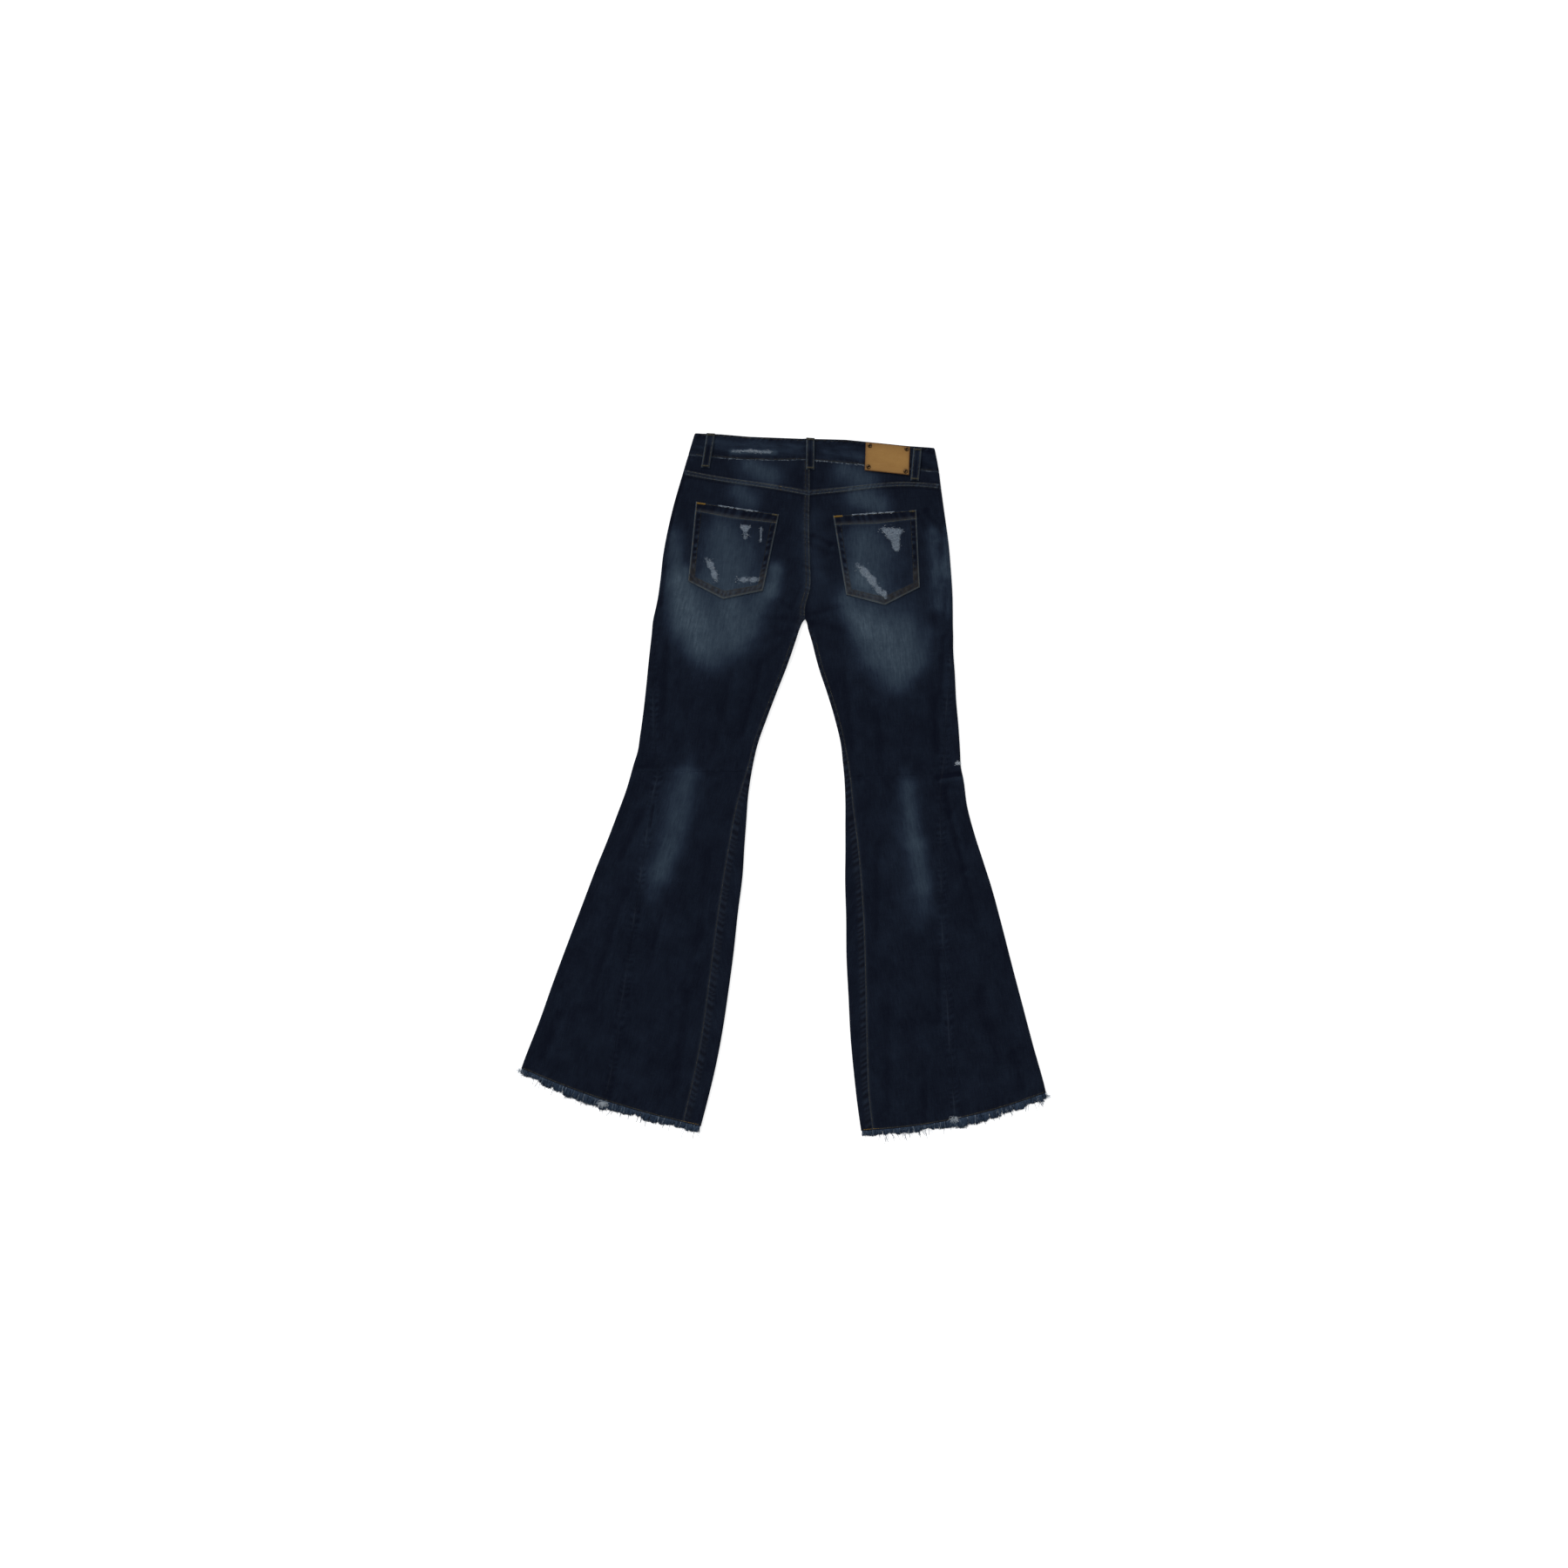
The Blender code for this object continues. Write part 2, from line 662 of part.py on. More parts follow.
def lying(name, spots, thickness, finish, seat):
    """A sheet that lies on the back: its points (x, y) moved out by a gap from the surface under them."""
    under = seat(spots[..., 0], spots[..., 1]) + GAP
    low = np.concatenate([spots, under[..., None]], axis=-1)
    high = np.concatenate([spots, (under + thickness)[..., None]], axis=-1)
    return add_wall(name, high, low, finish)


def waist_seam_y(x):
    """y of the waist seam on the back, across both sides."""
    found = []
    for side in (LEFT, RIGHT):
        width = row_width(side, WAIST)
        found.append(on_row(side, WAIST, np.linspace(0, width, 12)))
    points = np.concatenate([found[0][::-1], found[1]])
    return np.interp(x, points[:, 0], points[:, 1])


def band_or_yoke_top(x, y):
    """Top of the waistband, easing down to the top of the yoke below the waist seam."""
    share = np.clip((waist_seam_y(x) - 1.0 - y) / 6.0, 0, 1)
    return (1 - share) * BAND_TOP + share * (back_top(x, y) + 0.1)


def band_top(x, y):
    return np.full(np.shape(x), BAND_TOP)


def quad_spots(top_left, top_right, low_right, low_left, rows, columns):
    """Grid of points between four corners, in straight lines."""
    v, u = np.meshgrid(np.linspace(0, 1, rows), np.linspace(0, 1, columns), indexing="ij")
    corners = [np.array(corner, float) for corner in (top_left, top_right, low_right, low_left)]
    top = corners[0] + u[..., None] * (corners[1] - corners[0])
    low = corners[3] + u[..., None] * (corners[2] - corners[3])
    return top + v[..., None] * (low - top)


def pocket_spots(side, rows, columns):
    """Grid over a pocket: straight between its top and the two straight runs that meet at its point."""
    corner = {name: np.array(place, float) for name, place in POCKETS[side].items()}
    u = np.linspace(0, 1, columns)
    top = corner["top_out"] + u[:, None] * (corner["top_in"] - corner["top_out"])
    run = corner["low_in"] - corner["low_out"]
    tip_u = float(np.dot(corner["point"] - corner["low_out"], run) / np.dot(run, run))
    low = np.column_stack(
        [
            np.interp(u, (0, tip_u, 1), (corner["low_out"][i], corner["point"][i], corner["low_in"][i]))
            for i in (0, 1)
        ]
    )
    v = np.linspace(0, 1, rows)[:, None, None]
    return top + v * (low - top)


def make_pockets():
    for side in (LEFT, RIGHT):
        spots = pocket_spots(side, 10, 9)
        lying("back_pocket_" + SIDE_NAME[side], spots, POCKET_CLOTH, "denim_worn", back_top)


def make_loops():
    for name, top_x, top_y, low_x, low_y in LOOPS:
        half = np.array((LOOP_WIDTH / 2, 0.0))
        top, low = np.array((top_x, top_y)), np.array((low_x, low_y))
        spots = quad_spots(top - half, top + half, low + half, low - half, 14, 3)
        lying(name, spots, LOOP_CLOTH, "denim", band_or_yoke_top)


def make_patch():
    """The leather is stiff, so it lies in one plane on the waistband."""
    corner = PATCH_CORNERS
    spots = quad_spots(
        corner["top_left"], corner["top_right"], corner["low_right"], corner["low_left"], 4, 5
    )
    lying("leather_patch", spots, PATCH_LEATHER, "leather", band_top)
    seat = BAND_TOP + GAP + PATCH_LEATHER + GAP
    for number, place in enumerate(RIVETS, start=1):
        profile = (
            (0, seat),
            (RIVET_RADIUS, seat),
            (RIVET_RADIUS - 0.4, seat + 0.7 * RIVET_HEIGHT),
            (0.62 * RIVET_RADIUS, seat + RIVET_HEIGHT),
            (0.30 * RIVET_RADIUS, seat + 0.5 * RIVET_HEIGHT),
            (0, seat + 0.5 * RIVET_HEIGHT),
        )
        turned_body(f"patch_rivet_{number}", place, profile, 10, "aged_brass")


# --- raw hems


def make_fringe(side, layer):
    """Locks of loose thread below one layer of a hem, grown from a narrow strip of woven edge."""
    count = LOCKS_A_LAYER
    width = row_width(side, HEM)
    edge_room = 3.0 if layer == "back" else 1.0
    away = np.linspace(edge_room, width - edge_room, count + 1)
    down = -row_up(side, HEM)
    hem = on_row(side, HEM, away)
    if layer == "back":
        middle = upper_middle(side, HEM, away)
    else:
        middle = np.full(count + 1, FRINGE_CLOTH / 2 + 0.1)
    draw = np.random.default_rng((side + 1, layer == "back"))
    half = FRINGE_CLOTH / 2
    points = []
    for start in (GAP, GAP + FRINGE_BACKING):
        for height in (half, -half):
            points.append(np.column_stack([hem + start * down, middle + height]))
    near_top, near_low, far_top, far_low = (np.arange(count + 1) + k * (count + 1) for k in range(4))
    points = np.concatenate(points)
    faces = [(near_top[0], near_low[0], far_low[0], far_top[0])]
    faces.append((near_top[-1], far_top[-1], far_low[-1], near_low[-1]))
    along = (hem[1:] - hem[:-1]) / np.hypot(*(hem[1:] - hem[:-1]).T)[:, None]
    root_width = away[1] - away[0]
    most_lean = (1 - LOCK_TIP) * root_width / 2
    tips = []
    for k in range(count):
        faces.append((near_top[k], far_top[k], far_top[k + 1], near_top[k + 1]))
        faces.append((near_low[k], near_low[k + 1], far_low[k + 1], far_low[k]))
        faces.append((near_top[k], near_top[k + 1], near_low[k + 1], near_low[k]))
        length = LOCK_LENGTH * (1 + LOCK_VARIES * draw.uniform(-1, 1))
        lean = LOCK_LEAN * most_lean * draw.uniform(-1, 1)
        middle_spot = (hem[k] + hem[k + 1]) / 2 + (GAP + FRINGE_BACKING + length) * down + lean * along[k]
        reach = LOCK_TIP * root_width / 2 * along[k]
        height = (middle[k] + middle[k + 1]) / 2
        base = len(points) + 4 * k
        for spot, level in (
            (middle_spot - reach, 0.5 * half),
            (middle_spot + reach, 0.5 * half),
            (middle_spot + reach, -0.5 * half),
            (middle_spot - reach, -0.5 * half),
        ):
            tips.append((spot[0], spot[1], height + level))
        root = (far_top[k], far_top[k + 1], far_low[k + 1], far_low[k])
        tip = (base, base + 1, base + 2, base + 3)
        for m in range(4):
            following = (m + 1) % 4
            faces.append((root[m], tip[m], tip[following], root[following]))
        faces.append(tip[::-1])
    points = np.concatenate([points, np.array(tips)])
    return add_object(f"fringe_{layer}_{SIDE_NAME[side]}", points, faces, "frayed_edge")


def main():
    for thing in list(bpy.data.objects):
        bpy.data.objects.remove(thing, do_unlink=True)
    for side in (LEFT, RIGHT):
        make_backs(side)
        make_fronts(side)
        for layer in ("back", "front"):
            make_fringe(side, layer)
    make_fly()
    make_waistband()
    make_button()
    make_pockets()
    make_loops()
    make_patch()


main()
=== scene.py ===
"""Flared low-rise jeans with raw hems, laid flat with the back up: cloth, stitching, fringe and finishes.

Lengths in the tables and formulas are in millimetres on the flat garment: x across it, y toward the waist,
z up from the surface that it lies on. add_piece() writes them into meshes in metres. Each leg is a
flattened tube of cloth. A row of cloth runs across it from its inner edge to its outer edge, a station
numbers the rows from the waist (0) to the hem (4), and away is the distance along a row from its inner end.
"""

import math

import bpy
import numpy as np
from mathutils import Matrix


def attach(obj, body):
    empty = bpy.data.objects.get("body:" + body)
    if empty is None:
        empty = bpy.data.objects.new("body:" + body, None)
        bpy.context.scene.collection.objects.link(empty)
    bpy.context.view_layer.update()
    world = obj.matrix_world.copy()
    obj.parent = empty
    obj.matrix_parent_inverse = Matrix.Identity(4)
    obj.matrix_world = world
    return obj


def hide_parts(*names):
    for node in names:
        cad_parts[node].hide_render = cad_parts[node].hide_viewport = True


bl_info = {
    "name": "Flared Jeans Laid Flat",
    "version": (1, 0, 0),
    "blender": (4, 5, 0),
    "location": "View3D > Sidebar > Jeans",
    "description": "Builds the cloth, trim and finish of a pair of flared jeans on their packed solids",
    "category": "Add Mesh",
}

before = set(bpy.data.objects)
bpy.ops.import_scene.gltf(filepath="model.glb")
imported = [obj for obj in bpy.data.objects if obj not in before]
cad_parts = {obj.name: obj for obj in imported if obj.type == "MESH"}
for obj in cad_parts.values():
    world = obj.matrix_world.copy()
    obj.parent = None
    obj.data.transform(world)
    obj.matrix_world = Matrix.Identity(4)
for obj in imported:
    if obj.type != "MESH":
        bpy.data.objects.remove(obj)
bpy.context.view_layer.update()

MM = 0.001
TAU = 2 * math.pi
LEFT, RIGHT = -1, 1
SIDES = (LEFT, RIGHT)
SIDE_NAME = {LEFT: "left", RIGHT: "right"}
WAIST, YOKE_SEAM, CROTCH, KNEE, HEM = 0, 1, 2, 3, 4

# Cloth, as in the solids
CLOTH = 1.2
BAND_CLOTH = 2.2
GAP = 0.3
FOLD_SPAN = 3.4  # from the middle of the lower wall to the middle of the upper one, at a side fold
FOLD_FALL = 14.0  # way in from the fold over which the upper wall comes down
LEAST_INSET = 4.3
EASE = 15.0
WAIST_RISE = 1.5
WAIST_RISE_FROM = 452.0
WAIST_RISE_TO = 488.0
FOLD_RADIUS = FOLD_SPAN / 2
FOLD_ROOM = FOLD_RADIUS + CLOTH / 2

MIDDLE_Y = -7.0  # y of the middle of the garment's box, which is the frame's origin
BAND_HEIGHT = 34.0
CROTCH_Y = 252.0
FORK_OPENS = 22.0
FORK_CURLS = 44.0
FRONT_DIP = 18.0
OUTSEAM_SHOWS = 230.0  # y below which the outseam lies on the back
FLY_WIDTH = 38.0
FLY_GAP = 1.0
FLY_CURVES, FLY_ENDS = 1 + 2 / 9, 1 + 4 / 9  # stations
BUTTON_RADIUS = 8.5
BUTTON_HEIGHT = 2.0
BUTTON_AWAY = 18.0
BAND_RADIUS = FOLD_SPAN / 2
BAND_ROOM = BAND_RADIUS + BAND_CLOTH / 2
BAND_FLAT = BAND_CLOTH + GAP
BAND_TOP = 2 * BAND_CLOTH + GAP
POCKET_CLOTH = 1.2
POCKET_GAP = 0.12
LOOP_WIDTH = 13.0
LOOP_CLOTH = 1.3
LOOP_GAP = 0.3
PATCH_LEATHER = 1.4
RIVET_RADIUS = 3.4
RIVET_HEIGHT = 1.0

# Sewing
JOIN = 0.1  # how far sewn edges run past their seam, so that no light shows between them
STRIP = 3.4  # half the width of the yoke's lapped seam
SEAT_STRIP = 8.4  # width of the seat's lapped seam, on the left panel
POCKET_BORDER = 10.5
POCKET_HEM = 14.5
NEAR_EDGE = (0.35, 0.9, 1.8, 3.0)  # places of the points nearest an edge of cloth


# --- tables


def smooth(x, xs, ys):
    """Cubic curve through the points (xs, ys), with the slope at each point taken from its neighbours."""
    slope = np.gradient(ys, xs)
    i = np.clip(np.searchsorted(xs, x) - 1, 0, len(xs) - 2)
    step = xs[i + 1] - xs[i]
    t = np.clip((x - xs[i]) / step, 0, 1)
    start = (2 * t**3 - 3 * t**2 + 1) * ys[i] + (t**3 - 2 * t**2 + t) * step * slope[i]
    end = (3 * t**2 - 2 * t**3) * ys[i + 1] + (t**3 - t**2) * step * slope[i + 1]
    return start + end


class Table:
    """Rows of sizes with named columns. The first column is the one it is read by."""

    def __init__(self, names, *rows):
        values = np.array(rows, float)
        values = values[np.argsort(values[:, 0])]
        self.key = values[:, 0]
        self.columns = dict(zip(names.split(), values.T))

    def curve(self, key, name):
        return smooth(key, self.key, self.columns[name])

    def line(self, key, name):
        return np.interp(key, self.key, self.columns[name])


# Outline of the flat garment. outer is the half width over both legs about middle, fork is half the
# space between the legs about seat, and seat is the x of the seat seam and of centre front.
OUTLINE = Table(
    "y middle outer fork seat",
    (532, 1, 182, 0, -6),
    (500, -0.5, 190, 0, -6),
    (460, -2, 198.5, 0, -4),
    (420, -3, 207, 0, -3),
    (380, -3, 214.5, 0, -1),
    (340, -3, 220, 0, 2),
    (300, -2, 223.5, 0, 4),
    (270, -2.5, 226, 0, -2),
    (252, -3.5, 228, 1.2, -1.6),
    (246, -3.8, 228.8, 4.0, -2.2),
    (240, -4, 229.5, 5.8, -2.6),
    (220, -4, 230.5, 12, -2),
    (180, -3, 234, 24, -1.5),
    (140, -2, 237, 38.5, -0.5),
    (100, -0.5, 241, 52, 0),
    (60, 0, 245, 63.5, -0.5),
    (40, 0, 247, 67, -1),
    (20, 0, 252, 70, -1),
    (-20, -1, 260.5, 74, -1),
    (-60, -1, 273, 75.5, -0.5),
    (-100, 0, 287, 77, 0),
    (-140, 0.5, 301.5, 78, 0.5),
    (-200, 0.5, 321, 82.5, 0.5),
    (-260, 0, 340, 86, 0.5),
    (-320, 0, 359, 91.5, 1),
    (-380, 0.5, 377.5, 97.5, 1),
    (-440, 0.5, 397.5, 106, 1),
    (-480, 0, 409, 113, 0.5),
    (-540, 0, 428, 125, 0),
)

# Rows of cloth at the seams that cross a leg: the y of the row's two ends, and how far it bows toward the
# waist at its middle.
ROWS = Table(
    "station outer_left inner_left bow_left sway_left outer_right inner_right bow_right sway_right",
    (WAIST, 494, 496, -4, 0, 486, 495, 0, 0),
    (YOKE_SEAM, 468, 445, 0, 0.8, 465, 446, 6.2, -2),
    (CROTCH, 252, 252, 0, 0, 252, 252, 0, 0),
    (KNEE, 7, 16, 0, 0, 29, 15, 0, 0),
    (HEM, -453, -528, -8, 0, -451, -523, -12, 0),
)

# Rise of the waistband's top edge over its usual height: x, and the rise there
BAND_TOP_EDGE = ((-180, -150, -105, -20, 5, 50, 150, 180), (0, 0, -2.1, -2.1, 0, 3, 2.6, 3.4))

# Side seams where they show on the back, as distances from the garment's middle line.
SEAMS = Table(
    "y outseam_left outseam_right inseam_left inseam_right",
    (240, 233, 229, 0, 0),
    (200, 233, 227, 14, 14),
    (140, 228, 222, 39, 39),
    (50, 220, 222, 69, 70),
    (10, 214, 219, 79, 78),
    (-30, 220, 220, 89, 84),
    (-100, 227, 224, 99, 96),
    (-200, 237, 230, 110, 108),
    (-300, 246, 241, 118, 116),
    (-400, 256, 251, 127, 123),
    (-460, 262, 258, 136, 128),
    (-530, 275, 268, 149, 139),
)

# Soft folds and fullness of the back that the solids have, each a rounded ridge along a line.
FOLDS = (
    # start x, start y, end x, end y, half width, height
    (-118, 250, -125, 160, 62, 3.4),
    (112, 240, 122, 150, 62, 3.4),
    (-152, 130, -160, 20, 44, 2.2),
    (150, 120, 158, 30, 44, 2.2),
    (-160, -140, -196, -470, 32, 2.4),
    (-228, -110, -318, -430, 36, 3.0),
    (172, -120, 190, -470, 34, 2.6),
    (240, -150, 330, -440, 36, 2.8),
)

# Creases of the back, in the same columns. A trough lies between two ridges.
CREASES = (
    # beside the seat seam
    (6, 378, 34, 366, 4.5, 1.1),
    (34, 366, 66, 357, 5.5, 0.8),
    (2, 364, 30, 351, 5.0, 0.7),
    (14, 330, 40, 322, 7.0, 0.5),
    # right hip
    (164, 417, 192, 384, 4.5, 1.1),
    (178, 425, 209, 390, 5.0, 1.2),
    (201, 372, 205, 318, 5.0, 0.8),
    (213, 336, 214, 268, 4.5, 0.7),
    (196, 300, 202, 215, 6.0, 0.6),
    (212, 232, 214, 150, 5.0, 0.7),
    # left hip
    (-196, 452, -206, 415, 5.0, 0.7),
    (-209, 404, -214, 344, 4.5, 0.9),
    (-199, 372, -204, 300, 6.0, 0.6),
    (-216, 318, -219, 262, 4.0, 0.8),
    # drawn out from the crotch
    (-12, 262, -46, 278, 5.0, 0.5),
    (-14, 248, -66, 250, 6.5, 0.7),
    (-24, 230, -84, 206, 7.0, 0.5),
    (-36, 208, -66, 176, 6.0, 0.35),
    (8, 258, 52, 272, 5.0, 0.45),
    (14, 244, 70, 232, 6.5, 0.6),
    (26, 222, 66, 192, 7.0, 0.45),
    (-8, 300, -20, 268, 4.5, 0.4),
    # thighs
    (-206, 226, -209, 96, 7.0, 0.8),
    (-108, 166, -128, 44, 8.0, 0.5),
    (-64, 168, -86, 70, 6.0, 0.6),
    (205, 140, 212, 60, 6.5, 0.7),
    (64, 172, 84, 60, 7.0, 0.6),
    (118, 120, 128, 40, 8.0, 0.5),
    # knees
    (-246, 12, -206, 15, 4.0, 0.5),
    (-180, 4, -120, 7, 4.5, 0.2),
    (-236, -6, -206, -34, 5.0, 0.5),
    (-217, -46, -220, -76, 2.6, 0.8),
    (216, 19, 251, 26, 3.8, 1.8),
    (222, 6, 250, 2, 4.6, 0.4),
    (228, 0, 236, -40, 5.5, 0.7),
    (96, 12, 122, -4, 5.0, 0.5),
    # bells
    (-232, -56, -262, -128, 7.0, 0.6),
    (-252, -176, -292, -322, 6.0, 0.45),
    (-226, -186, -246, -286, 5.0, 0.3),
    (-196, -212, -206, -262, 4.5, 0.5),
    (-128, -110, -138, -262, 7.0, 0.5),
    (-150, -330, -160, -470, 8.0, 0.6),
    (-344, -370, -366, -436, 8.0, 0.7),
    (-252, -420, -262, -500, 7.0, 0.6),
    (236, -34, 262, -120, 5.0, 0.9),
    (262, -120, 286, -196, 6.0, 0.6),
    (128, -90, 134, -232, 7.0, 0.5),
    (228, -252, 236, -352, 5.5, 0.6),
    (296, -300, 330, -410, 8.0, 0.6),
    (158, -340, 164, -486, 8.0, 0.6),
    (216, -430, 222, -506, 6.0, 0.6),
    (352, -396, 368, -444, 7.0, 0.6),
)

# Faded places: a start, an end, a half width and a strength. Each is a soft stroke along its line.
FADES = (
    # left hip and seat
    (-206, 370, -203, 306, 13, 0.38),
    (-198, 300, -190, 236, 19, 0.52),
    (-176, 266, -166, 206, 21, 0.52),
    (-187, 318, -180, 288, 9, 0.30),
    (-112, 264, -108, 216, 23, 0.44),
    (-150, 240, -141, 190, 25, 0.34),
    (-51, 326, -55, 292, 12, 0.52),
    (-70, 284, -84, 236, 18, 0.36),
    (-140, 276, -130, 240, 50, 0.28),
    # right hip and seat
    (186, 394, 196, 340, 11, 0.32),
    (206, 402, 212, 330, 5, 0.26),
    (208, 348, 214, 280, 11, 0.20),
    (194, 330, 197, 284, 11, 0.28),
    (186, 240, 181, 200, 15, 0.20),
    (60, 286, 84, 246, 18, 0.46),
    (90, 258, 104, 204, 22, 0.42),
    (122, 238, 140, 170, 24, 0.46),
    (152, 250, 160, 190, 19, 0.42),
    (120, 272, 134, 220, 46, 0.24),
    # yoke and beside the seat seam
    (-98, 484, -64, 469, 17, 0.42),
    (46, 482, 84, 469, 18, 0.38),
    (68, 442, 102, 433, 18, 0.46),
    (-112, 442, -98, 430, 17, 0.36),
    (-2, 400, 4, 296, 20, 0.12),
    (16, 336, 24, 316, 11, 0.08),
    # knees
    (-166, 34, -168, 20, 9, 0.10),
    (-186, 10, -152, 10, 8, 0.14),
    (-170, 2, -177, -70, 18, 0.32),
    (-187, -16, -196, -96, 15, 0.08),
    (-189, -102, -203, -144, 16, 0.36),
    (-209, -152, -216, -180, 15, 0.18),
    (-194, -30, -212, -132, 27, 0.12),
    (162, 30, 164, 18, 9, 0.08),
    (167, 4, 182, -78, 14, 0.36),
    (186, -86, 197, -142, 15, 0.34),
    (200, -152, 205, -178, 14, 0.17),
    (154, -50, 174, -150, 22, 0.10),
    (186, -178, 190, -198, 22, 0.12),
)
POCKET_FADES = {
    LEFT: (
        (-136, 382, -124, 326, 20, 0.24),
        (-122, 346, -118, 310, 50, 0.36),
        (-154, 308, -124, 296, 15, 0.24),
        (-96, 306, -84, 306, 16, 0.20),
    ),
    RIGHT: (
        (74, 384, 82, 326, 18, 0.30),
        (96, 352, 94, 314, 48, 0.34),
        (76, 318, 104, 298, 14, 0.40),
        (98, 392, 104, 372, 14, 0.12),
    ),
}
BAND_FADES = (
    (-150, 515, -24, 512, 10, 0.20),
    (20, 509, 74, 506, 9, 0.16),
    (-126, 503, -60, 504, 4, 0.45),
)

# Places worn down to the pale threads, in the same columns.
POCKET_WORN = {
    LEFT: (
        (-106, 389, -93, 389, 5.2, 0.66),
        (-100, 386, -98, 372, 6.4, 0.84),
        (-75.5, 389, -75, 368, 2.8, 1.0),
        (-157, 338, -151, 331, 6.6, 0.78),
        (-149, 327, -144, 317, 6.2, 0.88),
        (-143, 312, -139, 304, 6.0, 0.80),
        (-113, 306, -99, 309, 5.0, 0.60),
        (-97, 308, -84, 308, 6.6, 0.78),
        (-82, 310, -74, 310, 5.0, 0.66),
    ),
    RIGHT: (
        (107, 397, 140, 395, 5.6, 0.62),
        (113, 393, 119, 384, 5.2, 0.62),
        (123, 391, 129, 371, 6.4, 0.82),
        (134, 391, 134, 366, 6.2, 0.84),
        (73, 340, 84, 331, 7.6, 0.80),
        (87, 327, 96, 319, 8.0, 0.84),
        (98, 316, 107, 304, 7.4, 0.82),
        (109, 301, 114, 296, 5.4, 0.66),
        (118.5, 300, 119.5, 291, 3.6, 1.0),
    ),
}
POCKET_TOP_WORN = {LEFT: (0.28, 0.74), RIGHT: (0.28, 0.76)}  # shares of the top edge, from its outer corner
BAND_WORN = (
    (-124, 503.5, -100, 505, 3.0, 0.95),
    (-98, 505, -68, 504.5, 3.8, 1.05),
)

# Corners of the seat pockets and of the leather patch.
POCKETS = {  # top outer, top inner, low inner and low outer corners, and the point
    LEFT: ((-177, 424), (-49, 411), (-68, 293), (-183, 302), (-128, 277)),
    RIGHT: ((160, 428), (33, 413), (59, 293), (171, 310), (119, 280)),
}
PATCH_CORNERS = ((77.5, 527), (145.5, 523.5), (146, 480), (78, 484))  # from the top left, clockwise
RIVETS = ((84, 522), (140.5, 519.5), (83.5, 489.5), (140.5, 485.5))
LOOPS = (
    # name, top x, top y, low x, low y
    ("belt_loop_left", -159, 529, -165, 476),
    ("belt_loop_centre", -7, 529.5, -5, 481),
    ("belt_loop_right", 157, 522, 155, 472),
)


# --- noise and soft strokes


def strokes(x, y, table):
    """Sum of rounded ridges, each height * exp(-(off / half width) squared), off being from its line."""
    total = np.zeros(np.shape(x))
    for x0, y0, x1, y1, half_width, height in table:
        along = ((x - x0) * (x1 - x0) + (y - y0) * (y1 - y0)) / ((x1 - x0) ** 2 + (y1 - y0) ** 2)
        along = np.clip(along, 0, 1)
        off = np.hypot(x - x0 - along * (x1 - x0), y - y0 - along * (y1 - y0))
        total = total + height * np.exp(-((off / half_width) ** 2))
    return total


def layered(x, y, table):
    """Soft strokes laid over each other: 1 minus the product of what each leaves uncovered."""
    left = np.ones(np.shape(x))
    for row in table:
        left = left * (1 - strokes(x, y, (row,)))
    return 1 - left


def ripples(x, y, shortest, longest, seed):
    """Smooth unevenness from about -1 to 1: the mean of plane waves of random length, heading and phase."""
    draw = np.random.default_rng(seed)
    waves = 14
    total = np.zeros(np.shape(x))
    ranges = ((shortest, longest), (0, math.pi), (0, TAU))
    for length, heading, phase in zip(*(draw.uniform(low, high, waves) for low, high in ranges)):
        total = total + np.sin(TAU * (x * math.cos(heading) + y * math.sin(heading)) / length + phase)
    return total / math.sqrt(waves) / 1.6


def ticks(along, pitch, seed):
    """Uneven puckers along a seam, from -1 to 1: a sine whose phase wanders and whose strength varies."""
    phases = np.random.default_rng(seed).uniform(0, TAU, 4)
    slow = [np.sin(TAU * along / (k * pitch) + phase) for k, phase in zip((4.3, 7.9, 5.7, 13.1), phases)]
    turn = TAU * along / pitch + 1.6 * slow[0] + 1.2 * slow[1]
    return np.sin(turn) * (0.62 + 0.23 * slow[2] + 0.15 * slow[3])


def bell(distance, half_width):
    """exp(-(distance / half width) squared)."""
    return np.exp(-((distance / half_width) ** 2))


def ramp(value, low, high):
    """0 below low, 1 above high, with a soft start and end between."""
    share = np.clip((value - low) / (high - low), 0, 1)
    return share**2 * (3 - 2 * share)


def plateau(distance, start, end, soft):
    """1 between start and end, falling to 0 over soft outside them."""
    return ramp(distance, start - soft, start) * (1 - ramp(distance, end, end + soft))


def xy(spots):
    """All x and all y of some points."""
    return spots[..., 0], spots[..., 1]


def with_height(spots, height):
    """Points (x, y, z) from points (x, y) and their heights."""
    return np.concatenate([spots, np.broadcast_to(height, spots.shape[:-1])[..., None]], -1)


def way_along(points, axis):
    """Length of the way to each point along an axis of a grid of points, from the first one."""
    steps = np.linalg.norm(np.diff(points, axis=axis), axis=-1)
    return np.concatenate([0 * steps.take([0], axis), np.cumsum(steps, axis=axis)], axis)


# --- the garment's surfaces


def lift(x, y):
    """Height that folds, fullness, the waistband, creases and crinkles add to the back."""
    rise = WAIST_RISE * ramp(y, WAIST_RISE_FROM, WAIST_RISE_TO)
    crinkle = 0.20 * ripples(x, y, 24, 70, 11) + 0.08 * ripples(x, y, 8, 17, 12)
    return rise + strokes(x, y, FOLDS) + strokes(x, y, CREASES) + np.maximum(0.26 + crinkle, 0)


def back_top(x, y):
    """Height of the back's outside: two layers of cloth, the gap between them, and what lifts them."""
    return 2 * CLOTH + GAP + lift(x, y)


def fall(distance):
    """1 at a fold, falling to 0 at FOLD_FALL beyond its curve."""
    return 1 - ramp(distance, FOLD_ROOM, FOLD_ROOM + FOLD_FALL)


